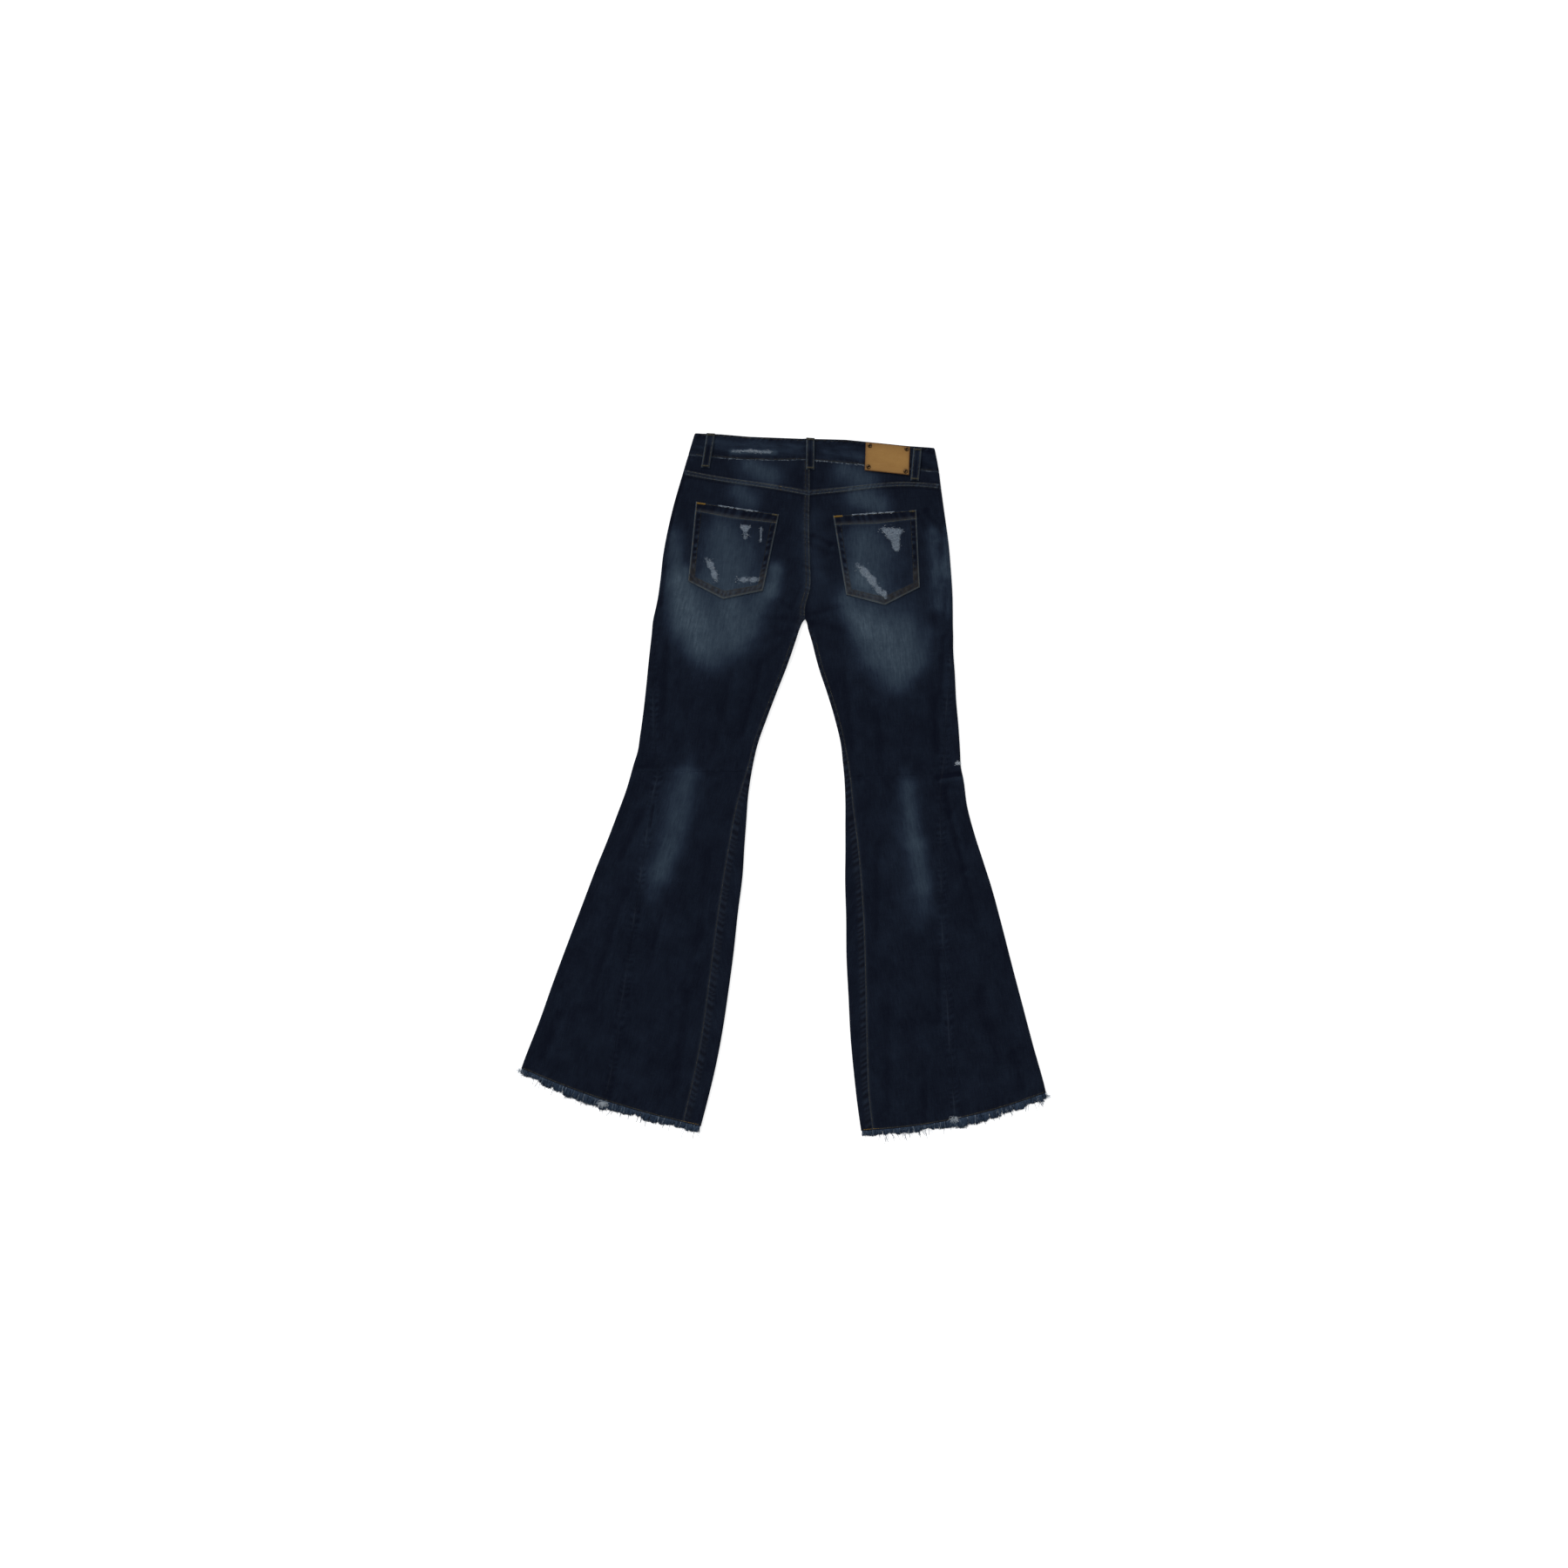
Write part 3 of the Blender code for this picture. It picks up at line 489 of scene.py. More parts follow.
class Rows:
    """Rows of cloth across one leg at an array of stations. Distances away may be (rows, columns)."""

    def __init__(self, side, stations):
        self.side = side
        self.stations = np.asarray(stations, float)
        self.name = SIDE_NAME[side]
        self.inner, self.outer = self.ends(self.stations)
        span = self.outer - self.inner
        self.width = np.hypot(*span.T)
        along = span / self.width[:, None]
        self.up = np.stack([-along[:, 1], along[:, 0]], -1) * np.where(along[:, 0] > 0, 1, -1)[:, None]
        self.along = along
        self.bow = ROWS.line(self.stations, "bow_" + self.name)
        self.sway = ROWS.line(self.stations, "sway_" + self.name)
        depth = np.maximum(0.0, CROTCH_Y - self.inner[:, 1])
        self.opened = np.minimum(1.0, depth / FORK_OPENS)
        curl = np.clip((depth - FORK_OPENS) / FORK_CURLS, 0, 1)
        self.curl = np.minimum(1.0, curl / 0.9)
        self.drawn_back = ramp(curl, 0.9, 1.0)
        inseam = np.maximum(LEAST_INSET, self.seam("inseam"))
        self.inseam = self.opened * np.where(self.opened == 1, inseam, LEAST_INSET)
        at_fold = self.width - LEAST_INSET
        outseam = np.minimum(at_fold, self.seam("outseam"))
        self.outseam = np.where(self.outer[:, 1] > OUTSEAM_SHOWS, at_fold, outseam)
        self.down = np.interp(self.stations, np.arange(5), DOWN_THE_LEG)

    def ends(self, stations):
        """Inner and outer ends of the rows."""
        outer_y = ROWS.line(stations, "outer_" + self.name)
        inner_y = ROWS.line(stations, "inner_" + self.name)
        outer_x = OUTLINE.curve(outer_y, "middle") + self.side * OUTLINE.curve(outer_y, "outer")
        fork = np.where(inner_y < CROTCH_Y, np.maximum(0.0, OUTLINE.curve(inner_y, "fork")), 0.0)
        inner_x = OUTLINE.curve(inner_y, "seat") + self.side * (fork + GAP / 2)
        return np.stack([inner_x, inner_y], -1), np.stack([outer_x, outer_y], -1)

    def spots(self, away):
        """Points (x, y): a line between the row's ends, a parabola for its bow and a sine for its sway."""
        share = away / self.width[:, None]
        bow = self.bow[:, None] * 4 * share * (1 - share) + self.sway[:, None] * np.sin(TAU * share)
        line = self.inner[:, None] + share[..., None] * (self.outer - self.inner)[:, None]
        return line + bow[..., None] * self.up[:, None]

    def seam(self, seam):
        """Distance away at which a side seam crosses each row, found by stepping toward it."""
        away = self.width[:, None] / 2
        for _ in range(8):
            y = self.spots(away)[:, 0, 1]
            x = self.side * SEAMS.curve(y, seam + "_" + self.name)
            away = (self.width * (x - self.inner[:, 0]) / (self.outer - self.inner)[:, 0])[:, None]
        return away[:, 0]

    def edge(self, away):
        """1 at a side fold of the tube, falling to 0 inside it."""
        return np.maximum(fall(self.width[:, None] - away), self.opened[:, None] * fall(away))

    def middle(self, away):
        """Height of the middle of the upper wall."""
        flat = CLOTH + GAP + lift(*xy(self.spots(away)))
        return CLOTH / 2 + flat + (FOLD_SPAN - np.minimum(flat, FOLD_SPAN)) * self.edge(away)

    def past(self, seam, away):
        """Distance down the leg past a seam that crosses it."""
        share = away / self.width[:, None]
        beyond = self.stations > seam
        length = [row_gap(self.side, seam, share, step) for step in (-1, 1)]
        return (self.stations - seam)[:, None] * np.where(beyond[:, None], length[1], length[0])


def row_gap(side, seam, share, step):
    """Length down the leg of one station at a seam, from the move of a row's ends to the next seam."""
    near = min(max(seam + step, WAIST), HEM)
    if near == seam:
        near = seam - step
    name = SIDE_NAME[side]
    gaps = []
    for end in ("inner_", "outer_"):
        y0, y1 = ROWS.line(seam, end + name), ROWS.line(near, end + name)
        column = "outer" if end == "outer_" else "fork"
        sideways = OUTLINE.curve(y1, column) - OUTLINE.curve(y0, column)
        gaps.append(math.hypot(y1 - y0, sideways))
    return gaps[0] * (1 - share) + gaps[1] * share


def leg_lengths():
    """Distance down the leg of each seam from the waist, the mean of both ends of both rows."""
    drops = [ROWS.columns[end + name] for end in ("outer_", "inner_") for name in ("left", "right")]
    return -(np.mean(drops, axis=0) - np.mean(drops, axis=0)[0])


DOWN_THE_LEG = leg_lengths()


def graded(length, step):
    """Places from 0 to length about a step apart, and closer near both ends."""
    start = np.array((0.0, *NEAR_EDGE))
    cells = max(2, round((length - 2 * start[-1]) / step))
    inside = np.linspace(start[-1], length - start[-1], cells + 1)[1:-1]
    return np.concatenate([start, inside, (length - start)[::-1]])


def stations_down(first, last, step, trims=(-JOIN, -JOIN)):
    """Stations of rows about a step apart from one seam to another, drawn back from both by the trims."""
    start, end = DOWN_THE_LEG[first] + trims[0], DOWN_THE_LEG[last] - trims[1]
    return np.interp(start + graded(end - start, step), DOWN_THE_LEG, np.arange(5))


def front_dip(share, stations):
    """How far a point of the front sits below its place on the back: in a V, deepest at centre front."""
    return FRONT_DIP * np.clip(1 - stations / CROTCH, 0, 1) * (1 - np.clip(share, 0, 1))


class Looks:
    """What seams, wear and painted light do: height added outside, ticks from -1 to 1, browning."""

    def __init__(self, like):
        self.relief = np.zeros(np.shape(like))
        self.rope_and_shade = np.zeros(np.shape(like))
        self.rust = np.zeros(np.shape(like))

    def add(self, relief=0.0, rope_and_shade=0.0, rust=0.0):
        self.relief = self.relief + relief
        self.rope_and_shade = self.rope_and_shade + rope_and_shade
        self.rust = np.maximum(self.rust, rust)

    def keep(self, share):
        self.relief, self.rope_and_shade, self.rust = share * self.relief, share * self.rope_and_shade, share * self.rust

    def finish(self, wear, bare=0.0):
        """Wear, ticks of wear and painted light, browning and bareness, as its material reads them."""
        return np.stack(np.broadcast_arrays(wear, self.rope_and_shade, self.rust, bare), -1)


def leg_looks(rows, away):
    """The seams of one leg's upper wall.

    An inseam has a strip of allowance on its fold side, puckered across, and an outseam has one on either
    side of a groove. The seat and the yoke have lapped strips with a row of stitching along each edge.
    """
    looks = Looks(away)
    down = rows.down[:, None]
    seed = 3 + rows.side
    closed, opened = 1 - rows.opened[:, None], rows.opened[:, None]

    off = away - rows.inseam[:, None]
    strip = plateau(-off, 0.6, 7.0, 2.5) * opened
    pucker = np.tanh(1.7 * ticks(down + 0.5 * off, 8.5, seed))
    looks.add(strip * (0.36 + 0.20 * pucker), strip * (0.62 * pucker + 0.06), 0.12 * strip)
    pale = bell(off - 1.7, 1.4) * (0.25 + 0.65 * ramp(-rows.inner[:, 1:], -90, -20)) * opened
    looks.add(-0.22 * bell(off - 2.0, 0.9) * opened, pale, 0.55 * pale)

    off = away - rows.outseam[:, None]
    shows = ramp(-rows.outer[:, 1], -OUTSEAM_SHOWS, 40 - OUTSEAM_SHOWS)[:, None]
    strip = bell(np.abs(off) - 4.2, 3.0) * (0.35 + 0.65 * shows)
    come_and_go = np.clip(0.5 + 0.7 * ticks(down, 90, seed + 20), 0, 1)
    pucker = ticks(down + 0.35 * np.abs(off), 9.5, seed + 10) * (0.3 + 0.7 * come_and_go)
    looks.add(strip * (0.28 + 0.20 * pucker), strip * 0.50 * pucker)
    pale = (0.05 + 0.62 * come_and_go**2) * bell(off + 1.2 * rows.side, 1.2) * shows
    looks.add(-0.12 * bell(off, 0.7), pale, 0.3 * pale)

    pucker = ticks(down + 0.4 * away, 7.0, seed + 30)
    if rows.side == LEFT:
        strip = plateau(away, 0.4, SEAT_STRIP, 1.4) * closed
        looks.add(strip * (0.5 + 0.12 * pucker), strip * (0.18 + 0.70 * pucker), 0.25 * strip)
        edges = 0.9 * bell(away - 0.9, 0.9) + 0.15 * bell(away - SEAT_STRIP + 1.4, 0.9)
        looks.add(0.0, edges * closed)
    else:
        looks.add(-0.25 * bell(away, 1.6) * closed, -0.35 * bell(away - 1.5, 2.2) * closed)

    off = rows.past(YOKE_SEAM, away)
    strip = plateau(off, -STRIP, STRIP, 1.0)
    pucker = ticks(away + 0.5 * off, 6.0, seed + 40)
    edges = bell(np.abs(off) - STRIP + 0.9, 0.9)
    looks.add(strip * 0.14 * pucker, strip * (0.35 + 0.8 * pucker) + 1.5 * edges, 0.3 * strip + 0.3 * edges)
    looks.add(0.35 * plateau(-off, 0.0, STRIP, 1.0))
    looks.add(0.0, -0.5 * bell(off - STRIP - 1.6, 1.6) - 0.3 * bell(off + STRIP + 1.6, 1.4))

    off = rows.past(KNEE, away)
    pucker = ticks(away + 0.4 * off, 12.0, seed + 50)
    shows = 0.4 if rows.side == LEFT else 0.15
    looks.add(-0.28 * shows * bell(off, 0.9), -0.2 * shows * bell(off, 2.2))
    beside = bell(np.abs(off) - 4, 3.2) * (1 + 0.5 * pucker)
    looks.add(0.22 * shows * beside, 0.16 * bell(off + 3, 2.5) * pucker)

    off = -rows.past(HEM, away)
    pucker = ticks(away + 0.6 * off, 10.0, seed + 60)
    looks.add(0.2 * bell(off - 6, 5) * pucker, 0.22 * bell(off - 5, 5) * pucker, 0.3 * bell(off, 2.5))
    looks.add(-0.18 * bell(off - 1.8, 0.9))

    x, y = xy(rows.spots(away))
    # Painted shade beside each crease toward the upper left, and a painted highlight toward the lower right.
    looks.add(0.0, 0.6 * strokes(x - 1.0, y + 1.0, CREASES) - 0.8 * strokes(x + 2.2, y - 2.2, CREASES))
    return looks


def lip(*distances):
    """How far the outside of a wall is rounded off near its edges, from the distances to them."""
    nearest = np.minimum.reduce(np.broadcast_arrays(*distances))
    return 0.5 * bell(np.maximum(nearest, 0), 0.6)


def upper_top(rows, away):
    """Height of the outside of a leg's upper wall, with its seams."""
    return rows.middle(away) + CLOTH / 2 + leg_looks(rows, away).relief


# --- meshes


def shell_faces(rows, columns):
    """Faces of a closed wall of two grids of points, the first grid outside."""
    index = np.arange(rows * columns).reshape(rows, columns)
    other = index + rows * columns
    outside = np.stack([index[:-1, :-1], index[:-1, 1:], index[1:, 1:], index[1:, :-1]], -1)
    inside = np.stack([other[:-1, :-1], other[1:, :-1], other[1:, 1:], other[:-1, 1:]], -1)
    rim = np.concatenate([index[0, :-1], index[:-1, -1], index[-1, :0:-1], index[:0:-1, 0]])
    following = np.roll(rim, -1)
    wall = np.stack([following, rim, rim + rows * columns, following + rows * columns], -1)
    return np.concatenate([outside.reshape(-1, 4), inside.reshape(-1, 4), wall])


def signed_volume(points, faces):
    """Volume inside the faces, less than 0 where they point inwards: a sum of tetrahedra from the origin."""
    total = 0.0
    for second, third in ((1, 2), (2, 3)):
        a, b, c = (points[faces[:, k]] for k in (0, second, third))
        total += np.einsum("ij,ij->", a, np.cross(b, c)) / 6
    return total


def add_piece(name, points, faces, material, slot=None, stands_for=(), cloth=None, finish=None):
    """A mesh piece from points in millimetres and faces of four corners, a triangle's last one repeated.

    cloth is each point's place on the flat cloth, and finish holds its wear, ticks, browning and bareness.
    """
    points = (np.asarray(points, float).reshape(-1, 3) - (0.0, MIDDLE_Y, 0.0)) * MM
    if signed_volume(points, faces) < 0:
        faces = faces[:, ::-1]
        triangle = faces[:, 0] == faces[:, 1]
        faces[triangle] = np.roll(faces[triangle], -1, axis=1)
    three = faces[:, 2] == faces[:, 3]
    mesh = bpy.data.meshes.new(name)
    mesh.from_pydata(points.tolist(), [], faces[~three].tolist() + faces[three, :3].tolist())
    mesh.shade_smooth()
    kinds = (("cloth", "FLOAT_VECTOR", "vector", cloth), ("finish", "FLOAT_COLOR", "color", finish))
    for label, kind, field, values in kinds:
        if values is not None:
            made = mesh.attributes.new(label, kind, "POINT")
            made.data.foreach_set(field, np.asarray(values, np.float32).ravel())
    mesh.materials.append(finish_for(material))
    piece = bpy.data.objects.new(name, mesh)
    bpy.context.scene.collection.objects.link(piece)
    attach(piece, "root")
    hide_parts(*stands_for)
    return piece


CLOTH_PIECES = {}  # by node: the piece of cloth that stands for it, and the middle of its wall


def add_shell(name, outside, inside, cloth, finish, material, node, slot="denim"):
    """A closed wall between two grids of points, with the same cloth place and finish on both sides."""
    both = [np.stack([each, each]) for each in (with_height(cloth, 0.0), finish)]
    faces = shell_faces(*outside.shape[:2])
    piece = add_piece(name, np.stack([outside, inside]), faces, material, slot, [node], *both)
    if slot == "denim":
        CLOTH_PIECES[node] = piece, (outside + inside) / 2


def declare_cloth(grid):
    """Works out the width and length of a sheet of cloth in the middle of its wall, and uses them for
    nothing.
    """
    width = way_along(grid, 1)[:, -1].max() * MM
    length = way_along(grid, 0)[-1].max() * MM


def ring_walls(rings, sides):
    """Faces between neighbouring rings of points that lie in order."""
    here = np.arange(rings * sides).reshape(rings, sides)
    beside = np.roll(here, -1, axis=1)
    return np.stack([here[:-1], beside[:-1], beside[1:], here[1:]], -1).reshape(-1, 4)


def tube_faces(count, rings, sides):
    """Faces of many closed tubes of the same rings and sides, whose points lie in order."""
    corner = np.arange(4)
    caps = (np.maximum(sides - 1 - corner, 0), (rings - 1) * sides + np.minimum(corner, sides - 1))
    one = np.concatenate([ring_walls(rings, sides), np.array(caps)])
    return (one[None] + (np.arange(count) * rings * sides)[:, None, None]).reshape(-1, 4)


def tubes(paths, radii, sides):
    """Tubes round many paths at once: each ring is a polygon square to the path, its first axis level."""
    ahead = np.gradient(paths, axis=1)
    ahead /= np.maximum(np.linalg.norm(ahead, axis=-1, keepdims=True), 1e-9)
    level = np.stack([-ahead[..., 1], ahead[..., 0], np.zeros(ahead.shape[:2])], -1)
    level /= np.maximum(np.linalg.norm(level, axis=-1, keepdims=True), 1e-9)
    across = np.cross(ahead, level)
    angles = np.arange(sides) * TAU / sides + TAU / 8
    ring = np.cos(angles)[:, None] * level[:, :, None] + np.sin(angles)[:, None] * across[:, :, None]
    points = paths[:, :, None] + radii[:, :, None, None] * ring
    return points.reshape(-1, 3), tube_faces(len(paths), paths.shape[1], sides)


def add_threads(name, runs, material, slot="frayed_edge", stands_for=(), sides=3, floor=0.02):
    """Many threads as one mesh. Each run holds paths, radii, and shades of one number a thread."""
    paths, radii, shade = (np.concatenate(part) for part in zip(*runs))
    points, faces = tubes(paths, radii, sides)
    points[:, 2] = np.maximum(points[:, 2], floor)
    each = paths.shape[1] * sides
    finish = np.zeros((len(points), 4))
    finish[:, 0] = np.repeat(shade, each)
    round_it = np.tile(np.arange(sides) / sides, paths.shape[0] * paths.shape[1])
    number = np.repeat(np.arange(len(paths)), each)
    cloth = np.column_stack([np.repeat(way_along(paths, 1).ravel(), sides), round_it, number])
    add_piece(name, points, faces, material, slot, stands_for, cloth, finish)


# --- stitching


STITCH_RINGS = np.array((-0.5, -0.3, 0.3, 0.5))  # places along a stitch
STITCH_SWELL = np.array((0.45, 1.0, 1.0, 0.45))  # its thickness there
STITCH_SINK = np.array((-0.8, 0.1, 0.1, -0.8))  # its height there, in radii
STITCH_WANDER = 0.12  # off the line
ON_CLOTH = 0.12  # height of a line of stitching over the cloth
TACK_WIDTH = 2.6
TACK_PITCH = 0.62


def stitch_run(line, gold, seed):
    """Stitches along a line of points: one every pitch, each a short arched tube that dips at both ends.

    gold is a shade from 0 to 1, or a function of x and y that gives it.
    """
    sizes = bpy.context.scene.jeans_sizes
    at = way_along(line, 0)
    count = max(2, int(at[-1] / (sizes.stitch_pitch / MM)))
    places = (np.arange(count) + 0.5) * at[-1] / count
    spots = places[:, None] + STITCH_RINGS * (0.92 * at[-1] / count)
    paths = np.stack([np.interp(spots, at, line[:, k]) for k in range(3)], -1)
    draw = np.random.default_rng(seed)
    radius = sizes.stitch_width / MM / 2
    paths[..., :2] += draw.normal(0, STITCH_WANDER, (count, 1, 2))
    paths[..., 2] += radius * STITCH_SINK
    radii = radius * STITCH_SWELL * draw.uniform(0.85, 1.1, (count, 1))
    if callable(gold):
        gold = gold(*paths[:, 1, :2].T)
    return paths, radii, np.clip(gold + draw.normal(0, 0.10, count), 0, 1)


def bar_tack(start, end, top, gold, seed):
    """A dense block of short stitches square to a line, from start to end."""
    start, end = np.array(start, float), np.array(end, float)
    length = np.hypot(*(end - start))
    count = max(4, int(length / TACK_PITCH))
    along = (end - start) / length
    across = np.array((-along[1], along[0]))
    places = start + np.linspace(0, 1, count)[:, None] * (end - start)
    draw = np.random.default_rng(seed)
    half = TACK_WIDTH / 2 * draw.uniform(0.85, 1.15, count)
    spots = places[:, None] + (STITCH_RINGS * 2)[None, :, None] * half[:, None, None] * across
    height = top(*xy(spots)) + 0.25 + 0.28 * STITCH_SINK
    radii = np.tile(0.3 * STITCH_SWELL, (count, 1))
    return with_height(spots, height), radii, np.clip(gold + draw.normal(0, 0.12, count), 0, 1)


def add_stitches(name, runs):
    """Runs of stitches and bar tacks as one mesh."""
    add_threads("stitches_" + name, runs, "thread", None, sides=4)


# --- materials


def summing(operation, turned_round=False):
    """A method that adds a Math node on a wire and another value."""

    def method(self, other):
        first, second = (other, self) if turned_round else (self, other)
        return self.board.node("ShaderNodeMath", {"operation": operation}, {0: first, 1: second})

    return method


class Wire:
    """A socket in a material. Sums and products of wires and numbers add Math nodes."""

    __add__, __radd__ = summing("ADD"), summing("ADD", True)
    __sub__, __rsub__ = summing("SUBTRACT"), summing("SUBTRACT", True)
    __mul__, __rmul__ = summing("MULTIPLY"), summing("MULTIPLY", True)

    def __init__(self, board, socket):
        self.board, self.socket = board, socket

    def beside(self, name):
        """Another output of the same node."""
        return Wire(self.board, self.socket.node.outputs[name])


class Board:
    """A new material with a Principled shader, and one method that adds any other node to it."""

    def __init__(self, name, roughness, specular, metallic=0.0):
        self.material = bpy.data.materials.new(name)
        self.material.use_nodes = True
        self.tree = self.material.node_tree
        self.shader = self.tree.nodes["Principled BSDF"]
        self.set("Roughness", roughness)
        self.set("Specular IOR Level", specular)
        self.set("Metallic", metallic)

    def node(self, kind, settings, values, result=0):
        """Adds a node of a kind, sets it up, fills its sockets and returns one of its outputs."""
        made = self.tree.nodes.new(kind)
        for setting, value in settings.items():
            setattr(made, setting, value)
        for socket, value in values.items():
            self.feed(made.inputs[socket], value)
        return Wire(self, made.outputs[result])

    def feed(self, socket, value):
        if isinstance(value, Wire):
            self.tree.links.new(value.socket, socket)
        elif isinstance(value, (int, float)):
            socket.default_value = value
        else:
            given = tuple(value)
            socket.default_value = given + (1.0,) if len(given) < len(socket.default_value) else given

    def set(self, name, value):
        self.feed(self.shader.inputs[name], value)

    def mix(self, share, first, second, blend="MIX"):
        """Colours mixed by a share."""
        settings = {"data_type": "RGBA", "blend_type": blend, "clamp_factor": True}
        return self.node("ShaderNodeMix", settings, {0: share, 6: first, 7: second}, 2)

    def noise(self, vector, scale, detail=2.0, roughness=0.5):
        """Noise with its own scale along each axis."""
        place = self.node("ShaderNodeVectorMath", {"operation": "MULTIPLY"}, {0: vector, 1: scale})
        values = {"Vector": place, "Scale": 1.0, "Detail": detail, "Roughness": roughness}
        return self.node("ShaderNodeTexNoise", {"noise_dimensions": "3D"}, values)

    def wave(self, turns):
        """Sine of a number of turns."""
        return self.node("ShaderNodeMath", {"operation": "SINE"}, {0: turns * TAU})

    def ramp(self, value, low, high):
        settings = {"interpolation_type": "SMOOTHSTEP"}
        values = {"Value": value, "From Min": low, "From Max": high}
        return self.node("ShaderNodeMapRange", settings, values)

    def attribute(self, name, result):
        return self.node("ShaderNodeAttribute", {"attribute_name": name}, {}, result)

    def colour_parts(self, colour=None):
        """Red of a colour, with green and blue beside it. The colour is a piece's finish if none is given."""
        colour = colour or self.attribute("finish", "Color")
        return self.node("ShaderNodeSeparateColor", {}, {"Color": colour})

    def place(self):
        return self.node("ShaderNodeTexCoord", {}, {}, "Object")

    def finished(self, colour, height, strength):
        """The material, with its colour and a bump whose height is in millimetres."""
        self.set("Base Color", colour)
        values = {"Height": height, "Strength": strength, "Distance": MM}
        self.set("Normal", self.node("ShaderNodeBump", {}, values))
        return self.material


BLACK = (0.0, 0.0, 0.0)


def linear(red, green, blue):
    """A colour given as 0 to 255 in sRGB, as linear values."""
    shares = [c / 255 for c in (red, green, blue)]
    return tuple(c / 12.92 if c <= 0.04045 else ((c + 0.055) / 1.055) ** 2.4 for c in shares)


def denim(name, colours, depth=1.0, browning=0.6, contrast=1.0):
    """Indigo twill. Wear bleaches it in streaks along the warp, down to pale weft where it is bare.

    The twill is a sine across diagonals of the cloth. Streaks, slubs and blotches are noise stretched along
    the warp or the weft. depth darkens the whole cloth.
    """
    board = Board(name, 1.0, 0.03)
    mix, ramp_of = board.mix, board.ramp
    cloth = board.attribute("cloth", "Vector")
    finish = board.attribute("finish", "Color")
    wear = board.colour_parts(finish)
    rope_and_shade, rust, bare = wear.beside("Green"), wear.beside("Blue"), finish.beside("Alpha")
    across = board.node("ShaderNodeSeparateXYZ", {}, {"Vector": cloth})
    along = across.beside("Y")

    def noise(over, down, detail=2.0, roughness=0.5):
        return board.noise(cloth, (over, down, 0.0), detail, roughness)

    twill = board.wave(across * 0.95 - along * 0.47 + noise(0.55, 0.22) * 0.8)
    yarns = board.wave(across * 2.3 + noise(0.2, 0.05) * 1.5)
    streak = noise(0.30, 0.034, 4.0, 0.62)
    slub = noise(0.9, 0.05)
    weft = noise(0.06, 0.8)
    mottle = noise(0.17, 0.12, 3.0, 0.65)
    blotch = noise(0.035, 0.025, 3.0, 0.6)
    grain = noise(0.9, 0.7)

    brushed = wear * (0.26 + streak * 0.90 + mottle * 0.58) + (slub - 0.5) * (0.22 + wear * 0.20)
    uneven = (blotch - 0.5) * 0.26 + (weft - 0.5) * 0.10 + (grain - 0.5) * 0.16
    # The finish's green brings seam roping and the painted light and shade beside the creases.
    level = brushed + rope_and_shade * 0.24 + uneven * contrast
    colour = mix(ramp_of(level, -0.12, 0.30), colours.dark_denim, colours.blue_denim)
    colour = mix(ramp_of(level, 0.14, 0.56), colour, colours.mid_denim)
    colour = mix(ramp_of(level, 0.46, 1.02), colour, colours.worn_denim)
    colour = mix(rust * (0.35 + grain * 0.7) * browning, colour, colours.rust)
    pale = ramp_of(twill + yarns * 0.35, 0.2, 1.3) * (0.03 + level * 0.20)
    colour = mix(pale, colour, colours.pale_yarn)
    # Painted shade in the grooves of the twill.
    colour = mix(ramp_of(twill, 0.0, -1.2) * 0.30, colour, BLACK)
    if depth < 1:
        colour = mix(1 - depth, colour, BLACK)
    clumps, shreds = noise(0.20, 0.16, 2.0, 0.6), noise(0.30, 1.15, 2.0, 0.6)
    gaps = noise(0.95, 0.26, 3.0, 0.65)
    threads = ramp_of(bare * (0.10 + clumps * 0.45 + shreds * 0.45 + gaps * 1.25), 0.70, 1.25)
    colour = mix(threads * 0.85, colour, mix(grain, colours.pale_yarn, colours.mid_denim))
    height = twill * 0.05 + yarns * 0.03 + slub * 0.12 + grain * 0.10 + threads * 0.25
    return board.finished(colour, height, 0.7)


def yarn(name, dark, middle, pale):
    """Loose yarn whose shade is set thread by thread, twisted, and mottled along its length."""
    board = Board(name, 0.95, 0.05)
    cloth = board.attribute("cloth", "Vector")
    level = board.colour_parts() + (board.noise(cloth, (0.35, 0.0, 3.1)) - 0.5) * 0.35
    colour = board.mix(board.ramp(level, 0.0, 0.5), dark, middle)
    colour = board.mix(board.ramp(level, 0.5, 1.0), colour, pale)
    along = board.node("ShaderNodeSeparateXYZ", {}, {"Vector": cloth})
    twist = board.wave(along * 1.3 + along.beside("Y"))
    # Painted shade in the grooves between the twisted strands.
    colour = board.mix(board.ramp(twist, 0.2, -1.2) * 0.4, colour, dark)
    return board.finished(colour, twist * 0.05, 0.6)


def leather_finish(colours):
    """Tan leather: fine pores, darker and burnished toward its edges, stained in soft patches."""
    board = Board("tan_leather", 0.62, 0.25)
    place = board.place()
    values = {"Vector": place, "Scale": 900.0}
    pores = board.node("ShaderNodeTexVoronoi", {"feature": "F1"}, values, "Distance")
    grain = board.noise(place, (420.0, 420.0, 420.0), 4.0, 0.6)
    stain = board.noise(place, (42.0, 60.0, 42.0), 4.0, 0.6)
    scuff = board.noise(place, (60.0, 700.0, 60.0), 3.0, 0.6)
    colour = board.mix(board.ramp(stain, 0.3, 0.75) * 0.55, colours.leather, colours.leather_dark)
    colour = board.mix(board.ramp(grain, 0.45, 0.8) * 0.30, colour, colours.leather_dark)
    colour = board.mix(board.ramp(scuff, 0.55, 0.8) * 0.25, colour, colours.leather_pale)
    board.set("Roughness", 0.50 + grain * 0.25)
    colour = board.mix(board.colour_parts(), colour, colours.leather_burnt)
    return board.finished(colour, pores * 0.16 + grain * 0.12, 0.5)


